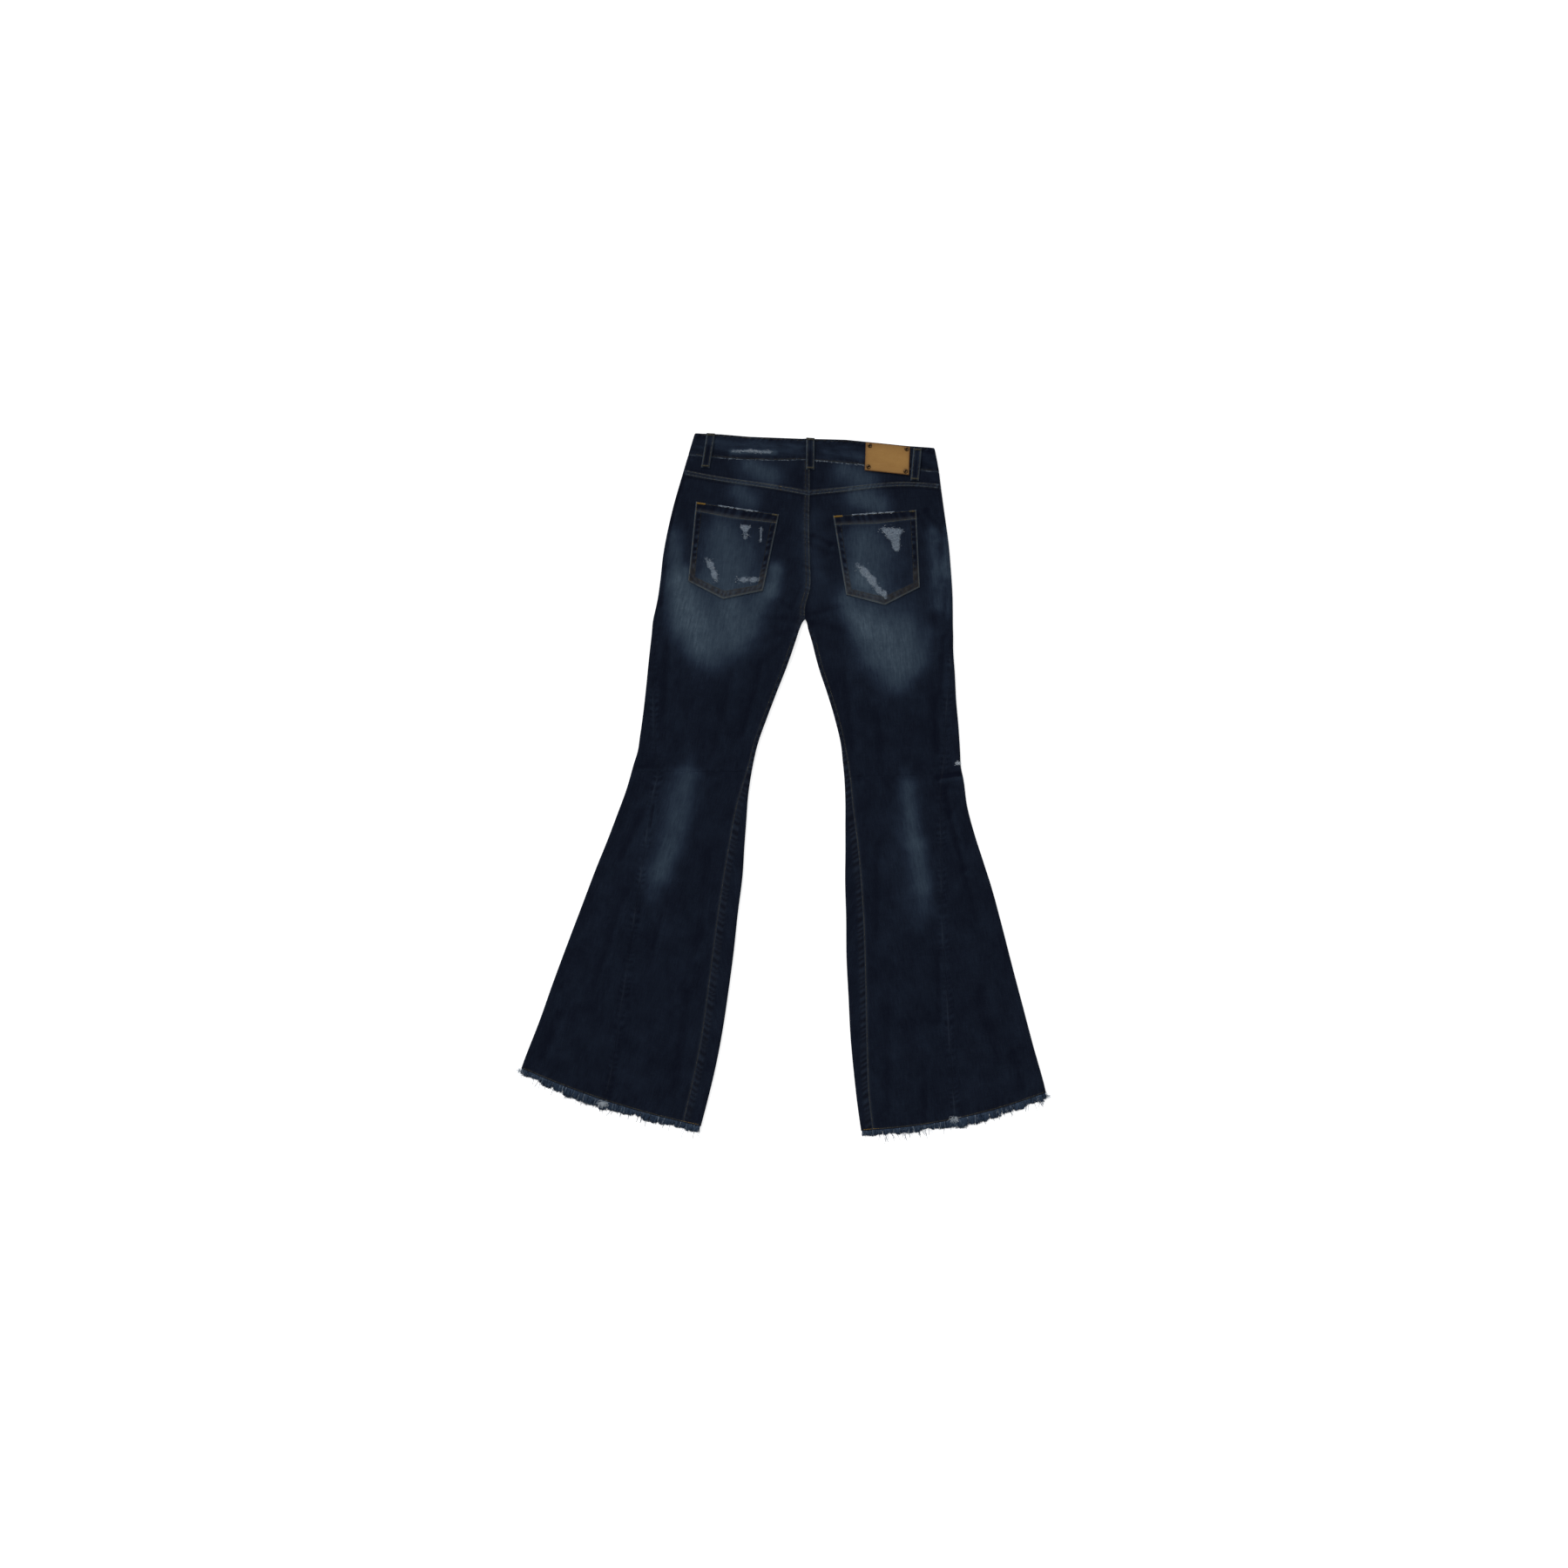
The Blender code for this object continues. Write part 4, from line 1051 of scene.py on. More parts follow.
def metal_finish(name, bright, tarnished, roughness):
    """Aged metal: bright where it is rubbed and tarnished in soft patches."""
    board = Board(name, roughness, 0.5, 0.9)
    place = board.place()
    patch = board.noise(place, (350.0, 350.0, 350.0), 4.0, 0.65)
    scratch = board.noise(place, (2600.0, 300.0, 900.0))
    board.set("Roughness", roughness + (scratch - 0.5) * 0.3)
    colour = board.mix(board.ramp(patch, 0.35, 0.65) * 0.6 + board.colour_parts(), bright, tarnished)
    return board.finished(colour, scratch * 0.02 + patch * 0.04, 0.6)


def floor_finish(glow):
    """Pale matt paper over a light box, with a little unevenness in its tone."""
    board = Board("pale_floor", 0.9, 0.1)
    tone = board.noise(board.place(), (0.8, 0.8, 0.8))
    board.set("Base Color", board.mix(tone, (0.88, 0.88, 0.885), (0.91, 0.91, 0.91)))
    board.set("Emission Color", (1.0, 1.0, 1.0))
    board.set("Emission Strength", glow)
    return board.material


MATERIALS = {}


def finish_for(name):
    """The material of a name, made when it is first asked for."""
    tint = bpy.context.scene.jeans_colours
    makers = {
        "denim": lambda: denim("indigo_twill", tint),
        "band_denim": lambda: denim("waistband_twill", tint, 0.95, 0.5, 1.2),
        "pocket_denim": lambda: denim("pocket_twill", tint, 1.0, 0.9, 1.2),
        "thread": lambda: yarn("topstitch_thread", tint.thread_dark, tint.thread_faded, tint.thread_gold),
        "fringe": lambda: yarn("frayed_yarn", tint.fringe_dark, tint.fringe_blue, tint.fringe_pale),
        "pale": lambda: yarn("bared_weft", tint.fringe_blue, tint.pale_yarn, tint.white_yarn),
        "leather": lambda: leather_finish(tint),
        "brass": lambda: metal_finish("aged_brass", tint.brass, tint.tarnish, 0.42),
        "button": lambda: metal_finish("button_metal", tint.button, tint.tarnish, 0.36),
    }
    if name not in MATERIALS:
        MATERIALS[name] = makers[name]()
    return MATERIALS[name]


# --- cloth pieces


def grain_places(spots, side, lean):
    """Place on the flat cloth: x and y turned so that the warp runs along a leg that leans outward."""
    sine, cosine = math.sin(math.radians(side * lean)), math.cos(math.radians(side * lean))
    x, y = xy(spots)
    return np.stack([x * cosine + y * sine, y * cosine - x * sine], -1)


UPPER_LEAN, BELL_LEAN = 9.0, 12.5  # degrees, of a leg's grain above and below the knee
TURNED = np.linspace(0, math.pi, 11)[1:-1]  # angles round a side fold
TURN_STRIP, TURN_STEP = 12.0, 1.8  # of a front's points between the inseam and the inner fold
FLOOR_CELLS = 14


def back_piece(name, side, stations, step, lean, lap=0.0):
    """Upper wall between the seat seam or inseam and the outseam.

    Beside the fork it runs on to the inner fold, until the front has curled up to meet it. Its outside
    is the middle of the wall plus half the cloth, its seams' relief and a rounded lip. A lap carries the
    last rows of cloth over the seam below them.
    """
    rows = Rows(side, stations)
    first = rows.inseam * rows.drawn_back - JOIN - GAP / 2 * (1 - rows.opened)
    last = rows.outseam + JOIN
    share = graded(float(np.mean(last - first)), step)
    away = first[:, None] + (last - first)[:, None] * (share / share[-1])
    spots = rows.spots(away)
    looks = leg_looks(rows, away)
    middle = rows.middle(away)
    down = way_along(spots, 0)
    raised = 0.95 * ramp(rows.past(YOKE_SEAM, away), -STRIP - 0.4, -0.6) if lap else 0.0
    rim = lip(away - first[:, None], last[:, None] - away + 0.4, down + 0.6, down[-1] - down + 0.6)
    outside = with_height(spots, middle + CLOTH / 2 + looks.relief + raised - rim)
    inside = with_height(spots, middle - CLOTH / 2 + 1.25 * raised)
    cloth, finish = grain_places(spots, side, lean), looks.finish(layered(*xy(spots), FADES))
    side = SIDE_NAME[side]
    add_shell(f"{name}_cloth_{side}", outside, inside, cloth, finish, "denim", f"{name}_{side}")


def front_line(rows, step, strip_cells):
    """Middle line of a front panel's section, as distances away and heights, one line a row.

    It runs from the inseam on the top, down round the inner fold, along the surface, up round the outer
    fold and back to the outseam. Above the crotch its inner end lies flat at centre front. The third grid
    is 1 where the line is on top and 0 on the surface.
    """
    curl = rows.curl[:, None]
    under = 0.6 * CLOTH * (1 - rows.drawn_back[:, None])
    inseam = np.maximum(LEAST_INSET, rows.inseam) + JOIN
    start = fly_reach(rows.stations, FLY_GAP) if rows.side == LEFT else np.zeros(len(rows.stations))
    top_share = graded(TURN_STRIP, TURN_STEP)[:-1] / TURN_STRIP
    top_away = inseam[:, None] + (FOLD_ROOM - inseam)[:, None] * top_share
    arc_away = np.tile(FOLD_ROOM - FOLD_RADIUS * np.sin(TURNED), (len(inseam), 1))
    arc_height = np.tile(CLOTH / 2 + FOLD_RADIUS * (1 + np.cos(TURNED)), (len(inseam), 1))
    end = np.full((len(inseam), 1), FOLD_ROOM)
    curled = np.concatenate([top_away, end, arc_away, end], 1)
    heights = [rows.middle(top_away) - under, rows.middle(end) - under, arc_height, 0 * end + CLOTH / 2]
    flat = start[:, None] + np.linspace(0, EASE, curled.shape[1])
    away = (1 - curl) * flat + curl * curled
    height = (1 - curl) * CLOTH / 2 + curl * np.concatenate(heights, 1)

    far = rows.width[:, None]
    reach = far - FOLD_ROOM
    floor = away[:, -1:] + (reach - away[:, -1:]) * np.linspace(0, 1, FLOOR_CELLS + 1)[1:]
    outseam = rows.outseam[:, None] - JOIN
    strip_share = graded(strip_cells * step, step)[1:] / (strip_cells * step)
    strip = reach + (outseam - reach) * strip_share
    parts = (
        (away, height),
        (floor, np.full(floor.shape, CLOTH / 2)),
        (far - arc_away[:, ::-1], arc_height[:, ::-1]),
        (reach, rows.middle(reach)),
        (strip, rows.middle(strip)),
    )
    turns = top_share.size + 1
    rounding = np.linspace(0, 1, len(TURNED) + 2)[1:-1]
    inner = curl * np.concatenate([np.ones(turns), rounding[::-1], [0.0]])
    outer = np.concatenate([np.zeros(FLOOR_CELLS), rounding, np.ones(1 + strip.shape[1])])
    on_top = np.concatenate([inner, np.tile(outer, (len(inseam), 1))], 1)
    return *(np.concatenate(part, 1) for part in zip(*parts)), on_top


def fly_reach(stations, gap=0.0):
    """Distance from centre front to the outer edge of the fly, which curves in at its foot as an ellipse."""
    turn = np.clip((stations - FLY_CURVES) / (FLY_ENDS - FLY_CURVES), 0, 1)
    return np.where(stations <= FLY_ENDS, FLY_WIDTH * np.sqrt(1 - turn**2) + gap, 0.0)


def sideways(away, height, distance):
    """A section's points moved along its normals."""
    ahead = np.stack([np.gradient(away, axis=1), np.gradient(height, axis=1)])
    ahead = ahead / np.maximum(np.hypot(*ahead), 1e-6)
    return away - distance * ahead[1], height + distance * ahead[0]


def front_piece(name, side, stations, step, strip_cells, lean):
    """A front panel wrapped round both side folds, flat where it lies on the surface."""
    rows = Rows(side, stations)
    away, height, on_top = front_line(rows, step, strip_cells)
    looks = leg_looks(rows, away)
    looks.keep(on_top)
    sheets = []
    for distance in (-CLOTH / 2, CLOTH / 2):
        moved, level = sideways(away, height, distance)
        spots = rows.spots(moved)
        low = np.clip((FOLD_SPAN + CLOTH / 2 - height) / FOLD_SPAN, 0, 1)
        spots[..., 1] -= low * front_dip(moved / rows.width[:, None], rows.stations[:, None])
        if distance < 0:
            rim = lip(np.abs(away - away[:, :1]), np.abs(away[:, -1:] - away) + 0.4)
            level = level + looks.relief - on_top * rim
        sheets.append(with_height(spots, np.maximum(level, 0.0)))
    around = way_along((sheets[0] + sheets[1]) / 2, 1)
    spots = rows.spots(away)
    cloth, finish = grain_places(spots, side, lean), looks.finish(layered(*xy(spots), FADES))
    cloth[..., 0] = side * (around[:, -1:] - around) + cloth[:, -1:, 0]
    side = SIDE_NAME[side]
    add_shell(f"{name}_cloth_{side}", *sheets, cloth, finish, "denim", f"{name}_{side}")


def band_half(side, step):
    """Half of the waistband's section, from centre front on the surface to centre back on top.

    Distances away, heights, 1 where the line is on top, and the width of the half.
    """
    width = float(Rows(side, [WAIST]).width[0])
    fold, near = width - BAND_ROOM, 2 * BUTTON_AWAY
    floor = np.concatenate([np.linspace(0, near, 31), np.linspace(near, fold, 26)[1:]])
    top = np.linspace(fold, 0, round(width / step))
    extra = (FOLD_SPAN - BAND_FLAT) * (1 - ramp(fold - top, 0, FOLD_FALL))
    away = np.concatenate([floor, fold + BAND_RADIUS * np.sin(TURNED), top])
    height = np.concatenate([0 * floor, BAND_RADIUS * (1 - np.cos(TURNED)), BAND_FLAT + extra])
    on_top = np.concatenate([np.zeros(len(floor) + len(TURNED)), np.ones(len(top))])
    return away[None], height[None] + BAND_CLOTH / 2, on_top[None], width


def band_spots(side, away, up):
    """Points (x, y) of the waistband, up from the waist seam.

    They follow the seam's row, straighten toward the band's top and draw in with the outline.
    """
    rows = Rows(side, [WAIST])
    spots = rows.spots(away)
    share = np.clip(away / rows.width[0], 0, 1)
    straight = np.interp(spots[..., 0], *BAND_TOP_EDGE) - rows.bow[0] * 4 * share * (1 - share)
    end_y = spots[..., 1] + up + straight * up / BAND_HEIGHT
    drawn_in = side * (OUTLINE.curve(end_y, "outer") - OUTLINE.curve(spots[..., 1], "outer"))
    return np.stack([spots[..., 0] + share * drawn_in, end_y], -1)


def band_looks(x, up):
    """Roping of the waistband: slanting puckers along both edges, and long ridges between them."""
    looks = Looks(x + up)
    from_top = BAND_HEIGHT - up
    low = ticks(x + 0.9 * up, 8.0, 71) * plateau(up, 0.5, 4.5, 3.0)
    high = ticks(x - 0.8 * up, 9.0, 72) * plateau(from_top, 0.3, 4.0, 3.0)
    looks.add(0.16 * (low + high), 0.55 * (low + high))
    ridge = bell(up - 12 - 2.0 * ripples(x, 0 * x, 60, 120, 73), 2.2)
    ridge = ridge + bell(up - 23 - 2.0 * ripples(x, 0 * x, 70, 130, 74), 2.0)
    looks.add(0.28 * ridge, 0.30 * ridge * (0.6 + 0.8 * ticks(x, 46, 75)))
    looks.add(0.12 * ripples(x, up, 14, 40, 76), 0.25 * ripples(x, 3 * up, 20, 60, 77))
    looks.add(-0.2 * bell(up - 2.2, 0.8) - 0.2 * bell(from_top - 2.2, 0.8))
    looks.add(0.0, 1.6 * bell(up - 0.6, 1.3) + 0.4 * bell(from_top, 1.0), 0.4 * bell(up - 1.5, 2.2))
    return looks


def band_surface(x, y):
    """Height of the waistband's top, easing down to the top of the yoke below the waist seam."""
    seam = waist_seam_y(x)
    share = ramp(seam - y, 1.0, 7.0)
    return (1 - share) * (BAND_TOP + 0.35) + share * (back_top(x, y) + 0.1)


def waist_seam_y(x):
    """y of the waist seam on the back, across both sides."""
    share = np.linspace(0, 1, 24)[None]
    left, right = (rows.spots(share * rows.width[0])[0] for rows in (Rows(side, [WAIST]) for side in SIDES))
    points = np.concatenate([left[::-1], right])
    return np.interp(x, points[:, 0], points[:, 1])


def button_place():
    """Middle of the waist button, on the hidden front."""
    place = band_spots(LEFT, np.array([[BUTTON_AWAY]]), BAND_HEIGHT / 2)[0, 0]
    place[1] -= float(front_dip(BUTTON_AWAY / Rows(LEFT, [WAIST]).width[0], np.array(WAIST)))
    return place


def band_ring(up, step):
    """A ring of the waistband at a height up it: closed lines of points outside and inside, and finish."""
    soft = 0.75 * bell(min(up + JOIN, BAND_HEIGHT - up), 0.8)
    halves = {}
    for side in SIDES:
        away, height, on_top, width = band_half(side, step)
        spots = band_spots(side, away, up)
        looks = band_looks(spots[..., 0], up)
        frayed = bell(up - 0.5, 1.1) * (0.72 + 0.30 * ticks(spots[..., 0], 19, 78))
        bare = np.clip(strokes(*xy(spots), BAND_WORN) + frayed, 0, 1) * on_top
        low = np.clip((FOLD_SPAN + BAND_CLOTH / 2 - height) / FOLD_SPAN, 0, 1)
        low = low * (1 - on_top * (height < BAND_CLOTH / 2 + FOLD_SPAN - 0.01))
        lines = []
        for distance in (-BAND_CLOTH / 2 + soft, BAND_CLOTH / 2 - 0.3 * soft):
            moved, level = sideways(away, height, distance)
            place = band_spots(side, moved, up)
            place[..., 1] -= low * front_dip(moved / width, np.array(WAIST))
            from_button = np.hypot(*xy(place - button_place()))
            dent = (1 - ramp(from_button, BUTTON_RADIUS + 0.2, BUTTON_RADIUS + 1.6)) * (height < BAND_CLOTH)
            level = level + (on_top * looks.relief + dent * BUTTON_HEIGHT if distance < 0 else 0.2 * dent)
            lines.append(with_height(place, np.maximum(level, 0))[0])
        halves[side] = (*lines, looks.finish(layered(*xy(spots), BAND_FADES), bare)[0])
    ring = []
    for right, left in zip(halves[RIGHT], halves[LEFT]):
        ring.append(np.concatenate([right[:-1], (right[-1:] + left[-1:]) / 2, left[:-1][::-1]]))
    return ring


def make_waistband(sizes):
    """A closed ring of doubled cloth: its section round the waist, repeated up its height."""
    ups = graded(BAND_HEIGHT + JOIN, 1.9) - JOIN
    rings = [band_ring(up, sizes.cell / MM) for up in ups]
    outside, inside, finish = (np.array(part) for part in zip(*rings))
    round_waist = way_along(inside, 1)
    places = np.stack([np.broadcast_to(ups[:, None], round_waist.shape), round_waist], -1)
    add_shell("waistband_cloth", outside, inside, places, finish, "band_denim", "waistband")


def make_fly():
    """Facing that fills the left front's cut at centre front, flat on the surface."""
    stations = np.interp(np.linspace(0, 1, 44), (0, 0.35, 1), (GAP / 40, YOKE_SEAM, FLY_ENDS - 0.02))
    rows = Rows(LEFT, stations)
    away = fly_reach(stations)[:, None] * graded(FLY_WIDTH, 2.6) / FLY_WIDTH
    spots = rows.spots(away)
    spots[..., 1] -= front_dip(away / rows.width[:, None], stations[:, None])
    looks = Looks(away)
    looks.add(0.0, 0.15 * ticks(rows.down[:, None] + 0 * away, 7.0, 91))
    sheets = [with_height(spots, z) for z in (0.0, CLOTH)]
    finish = looks.finish(layered(*xy(spots), FADES))
    add_shell("fly_cloth", *sheets, grain_places(spots, LEFT, 0.0), finish, "denim", "fly_facing")


# --- what lies on the back


def quad_grid(corners, u, v):
    """Grid of points between four corners, from the top left clockwise, in straight lines.

    A fifth corner is a tip between the lower two, and bends the lower side.
    """
    corners = np.array(corners, float)
    top_left, top_right, low_right, low_left = corners[:4]
    run = low_right - low_left
    top = top_left + u[:, None] * (top_right - top_left)
    low = low_left + u[:, None] * run
    for tip in corners[4:]:
        at = np.dot(tip - low_left, run) / np.dot(run, run)
        low = np.column_stack([np.interp(u, (0, at, 1), line) for line in zip(low_left, tip, low_right)])
    return top + v[:, None, None] * (low - top)


def panel(corners, width, length, step_across, step_down):
    """Points of a panel, the distances across it and down it, and the distances from its four edges."""
    across, down = graded(width, step_across), graded(length, step_down)
    spots = quad_grid(corners, across / width, down / length)
    across, down = np.broadcast_to(across, spots.shape[:2]), np.broadcast_to(down[:, None], spots.shape[:2])
    return spots, across, down, (across, width - across, down, length - down)


def pocket_sizes(side):
    """Width along the top and length down the middle of a pocket."""
    top_out, top_in, low_in, low_out, _ = np.array(POCKETS[side], float)
    return float(np.hypot(*(top_in - top_out))), float((top_out - low_out + top_in - low_in)[1] / 2)


def pocket_height(side, across, down):
    """Outside of a pocket above the back: a doubled border, a deeper doubled hem at its top, and puckers."""
    width, length = pocket_sizes(side)
    looks = Looks(across + down)
    nearest = np.minimum.reduce([across, width - across, length - down])
    border = 1 - ramp(nearest, POCKET_BORDER, POCKET_BORDER + 1.6)
    hem = 1 - ramp(down, POCKET_HEM, POCKET_HEM + 1.6)
    side_tick = np.tanh(2.4 * ticks(down + 0.3 * across, 10.5, 31 + side))
    side_tick = side_tick * plateau(np.minimum(across, width - across), 4.5, 8.5, 1.6)
    low_tick = np.tanh(2.0 * ticks(across + 0.4 * down, 9.0, 33 + side))
    low_tick = low_tick * plateau(length - down, 4.0, 8.5, 1.6)
    hem_tick = ticks(across + 0.4 * down, 11.0, 35 + side) * plateau(down, 3.0, 12.0, 2.0)
    pucker = side_tick + 0.9 * low_tick + 0.6 * hem_tick
    border_low = border * ramp(down - 0.6 * length, 0, 30)
    brown = 0.03 * border + border_low * (0.58 + 0.24 * ticks(across - down, 13.0, 43 + side))
    looks.add(0.34 * np.maximum(border, hem) + 0.14 * pucker, 0.80 * pucker - 0.30 * border, brown)
    looks.add(0.0, 0.25 * bell(nearest - POCKET_BORDER - 0.4, 1.1))
    looks.add(0.0, -0.35 * plateau(down, 2.5, POCKET_HEM - 6.0, 3.0))
    looks.add(0.0, 1.3 * bell(down - POCKET_HEM + 0.8, 1.2), 0.6 * bell(down - POCKET_HEM + 2.6, 1.8))
    for off in (nearest - 1.7, nearest - POCKET_BORDER + 1.0, down - 1.8, down - POCKET_HEM + 1.0):
        looks.add(-0.16 * bell(off, 0.8))
    edge = bell(nearest - 1.0, 1.5)
    pale = edge * (2.7 + 0.6 * border_low + 0.5 * ticks(across + down, 17.0, 37 + side))
    looks.add(0.0, pale + 0.6 * bell(down - 0.8, 1.2) - 0.6 * bell(nearest - 4.4, 1.5), 0.35 * edge)
    looks.add(0.10 * ripples(across, down, 14, 40, 39 + side))
    return looks


def make_pocket(side):
    """A patch pocket laid on the back: its points moved up from the surface under them."""
    width, length = pocket_sizes(side)
    spots, across, down, edges = panel(POCKETS[side], width, length, 1.8, 1.8)
    looks = pocket_height(side, across, down)
    x, y = xy(spots)
    under = back_top(x, y) + POCKET_GAP
    outside = with_height(spots, under + POCKET_CLOTH + looks.relief - 1.2 * lip(*edges))
    frayed = plateau(across / width, *POCKET_TOP_WORN[side], 0.04) * bell(down - 0.4, 1.5)
    bare = np.clip(strokes(x, y, POCKET_WORN[side]), 0, 1)
    bare = np.clip(bare + 1.6 * frayed * (0.75 + 0.45 * ticks(across, 11.0, 41)), 0, 1)
    finish = looks.finish(layered(x, y, POCKET_FADES[side]), bare)
    cloth = grain_places(spots, side, 5.0)
    side = SIDE_NAME[side]
    inside = with_height(spots, under)
    add_shell(f"pocket_cloth_{side}", outside, inside, cloth, finish, "pocket_denim", f"back_pocket_{side}")


def pocket_top(x, y):
    """Height of a pocket's outside at points (x, y), less its puckers."""
    return back_top(x, y) + POCKET_GAP + POCKET_CLOTH + 0.40


def loop_rise(v):
    """How far a belt loop stands off the waistband between its tacked ends."""
    return 1.1 * np.sin(math.pi * ramp(v, 0.05, 0.86)) ** 2


def make_loop(name, top_x, top_y, low_x, low_y):
    """A belt loop: a narrow strip folded at its sides, arched between its two tacked ends."""
    half = np.array((LOOP_WIDTH / 2, 0.0))
    top, low = np.array((top_x, top_y)), np.array((low_x, low_y))
    length = float(np.hypot(*(top - low)))
    corners = (top - half, top + half, low + half, low - half)
    spots, across, down, edges = panel(corners, LOOP_WIDTH, length, 1.0, 1.4)
    under = band_surface(*xy(spots)) + LOOP_GAP + loop_rise(down / length)
    looks = Looks(across + down)
    sides = np.minimum(across, LOOP_WIDTH - across)
    pucker = ticks(down + 0.6 * across, 6.0, 51) * plateau(sides, 0.8, 3.0, 1.0)
    off = across - LOOP_WIDTH / 2
    looks.add(0.28 * bell(sides - 1.6, 1.4) + 0.08 * pucker, 0.5 * pucker + 2.1 * bell(sides - 0.8, 1.3))
    looks.add(-0.25 * bell(off, 1.6), -0.5 * bell(off, 2.2), 0.8 * bell(sides - 0.8, 2.0))
    outside = with_height(spots, under + LOOP_CLOTH + looks.relief - 1.3 * lip(*edges))
    wear = 0.04 + 0.10 * plateau(down, 6, 16, 5) + 0.10 * plateau(length - down, 0, 4, 3)
    cloth, inside = np.stack([across, down], -1) + top, with_height(spots, under)
    add_shell(f"{name}_cloth", outside, inside, cloth, looks.finish(wear), "band_denim", name)


def make_patch():
    """The leather patch: round at its edge, dimpled at its rivets, its edges just lifting between them."""
    width = float(PATCH_CORNERS[1][0] - PATCH_CORNERS[0][0])
    length = float(PATCH_CORNERS[0][1] - PATCH_CORNERS[3][1])
    spots, _, _, edges = panel(PATCH_CORNERS, width, length, 1.6, 1.6)
    x, y = xy(spots)
    nearest = np.minimum.reduce(edges)
    held = sum(bell(np.hypot(x - rivet_x, y - rivet_y), 5.5) for rivet_x, rivet_y in RIVETS)
    pressed = np.clip(held, 0, 1)
    under = BAND_TOP + GAP + 0.12 * (1 + ripples(x, y, 26, 60, 61))
    under = under + 0.35 * (1 - ramp(nearest, 0, 9)) * (1 - pressed)
    outside = with_height(spots, under + PATCH_LEATHER - 0.34 * pressed - 1.1 * lip(*edges))
    burnt = np.clip(0.8 * bell(nearest, 1.1) + 0.25 * bell(nearest, 4.0) + 0.30 * held, 0, 0.9)
    finish, inside = with_height(np.zeros((*x.shape, 3)), 0.0), with_height(spots, under)
    finish[..., 0] = burnt
    add_shell("patch_leather", outside, inside, spots, finish, "leather", "leather_patch", "leather")


def turned(name, place, profile, sides, material, slot, node):
    """A body turned about Z. The profile lists (radius, height, tarnish) from the axis to the axis."""
    radius, height, tarnish = np.array(profile, float).T
    angles = np.arange(sides) * TAU / sides
    ring = np.stack([np.cos(angles), np.sin(angles)], -1)
    spots = place + np.maximum(radius, 1e-3)[:, None, None] * ring
    last = (len(profile) - 1) * sides
    ends = [(0, k + 1, k, k) for k in range(1, sides - 1)]
    ends += [(last, last + k, last + k + 1, last + k + 1) for k in range(1, sides - 1)]
    faces = np.concatenate([ring_walls(len(profile), sides), ends])
    finish = np.zeros((len(profile), sides, 4))
    finish[..., 0] = tarnish[:, None]
    add_piece(name, with_height(spots, height[:, None]), faces, material, slot, [node], None, finish)


def arc(middle, level, radius, start, end, steps, tarnish):
    """Points of a profile round an arc, in degrees from level outward."""
    angles = np.radians(np.linspace(start, end, steps))
    return [(middle + radius * math.cos(a), level + radius * math.sin(a), tarnish) for a in angles]


def make_rivet(number, place):
    """A ring rivet: a flat washer with a raised round ring and a dark sunk middle."""
    seat = BAND_TOP + GAP + PATCH_LEATHER + 0.05
    middle, ring = 0.62 * RIVET_RADIUS, 0.62 * RIVET_HEIGHT
    profile = [(0, seat, 1), (RIVET_RADIUS, seat, 1), (RIVET_RADIUS, seat + 0.25, 0.9)]
    profile += [(RIVET_RADIUS - 0.15, seat + 0.38, 0.5), (middle + ring, seat + 0.42, 0.8)]
    profile += arc(middle, seat + 0.42, ring, 15, 165, 9, 0.0)
    profile += [(middle - ring, seat + 0.3, 0.9), (0.5, seat + 0.28, 1), (0, seat + 0.30, 1)]
    turned(f"ring_rivet_{number}", place, profile, 32, "brass", "aged_brass", f"patch_rivet_{number}")


def make_button():
    """The waist button: a shallow domed cap with a rolled rim, face down on the surface."""
    rim = BUTTON_RADIUS - 0.8
    profile = [(0, BUTTON_HEIGHT, 0.5), (BUTTON_RADIUS - 0.3, BUTTON_HEIGHT, 0.5)]
    profile += [(BUTTON_RADIUS, BUTTON_HEIGHT - 0.3, 0.2), *arc(rim, 0.8, 0.8, 0, -180, 10, 0.0)]
    profile += [(rim - 1.5, 0.7, 0.6), (3.0, 0.62, 0.4), (2.2, 0.40, 0.2), (0, 0.35, 0.2)]
    turned("waist_button_cap", button_place(), profile, 48, "button", "button_metal", "waist_button")


# --- lines of stitching


def leg_line(side, stations, away):
    """Points on a leg's upper wall, one at each station and distance away."""
    rows = Rows(side, stations)
    away = np.broadcast_to(away, rows.stations.shape)[:, None]
    return with_height(rows.spots(away), upper_top(rows, away) + ON_CLOTH)[:, 0]


def across_line(side, seam, past, start, end, points=90):
    """A line across a leg a distance past a seam, from start off its inner edge to end off its outer one."""
    width = Rows(side, [seam]).width[0]
    away = np.linspace(start, width - end, points)
    return leg_line(side, seam + past / row_gap(side, seam, away / width, 1 if past > 0 else -1), away)


def hem_gold(x, y):
    """Hem thread is brightest beside the inseams and dulls away from them."""
    return 0.34 + 0.44 * bell(np.abs(x) - 130, 22) + 0.10 * ripples(x, y, 20, 60, 81)


def faded_thread(x, y):
    """Thread over the yoke is dull and a little uneven."""
    return 0.34 + 0.16 * ripples(x, y, 30, 90, 82)


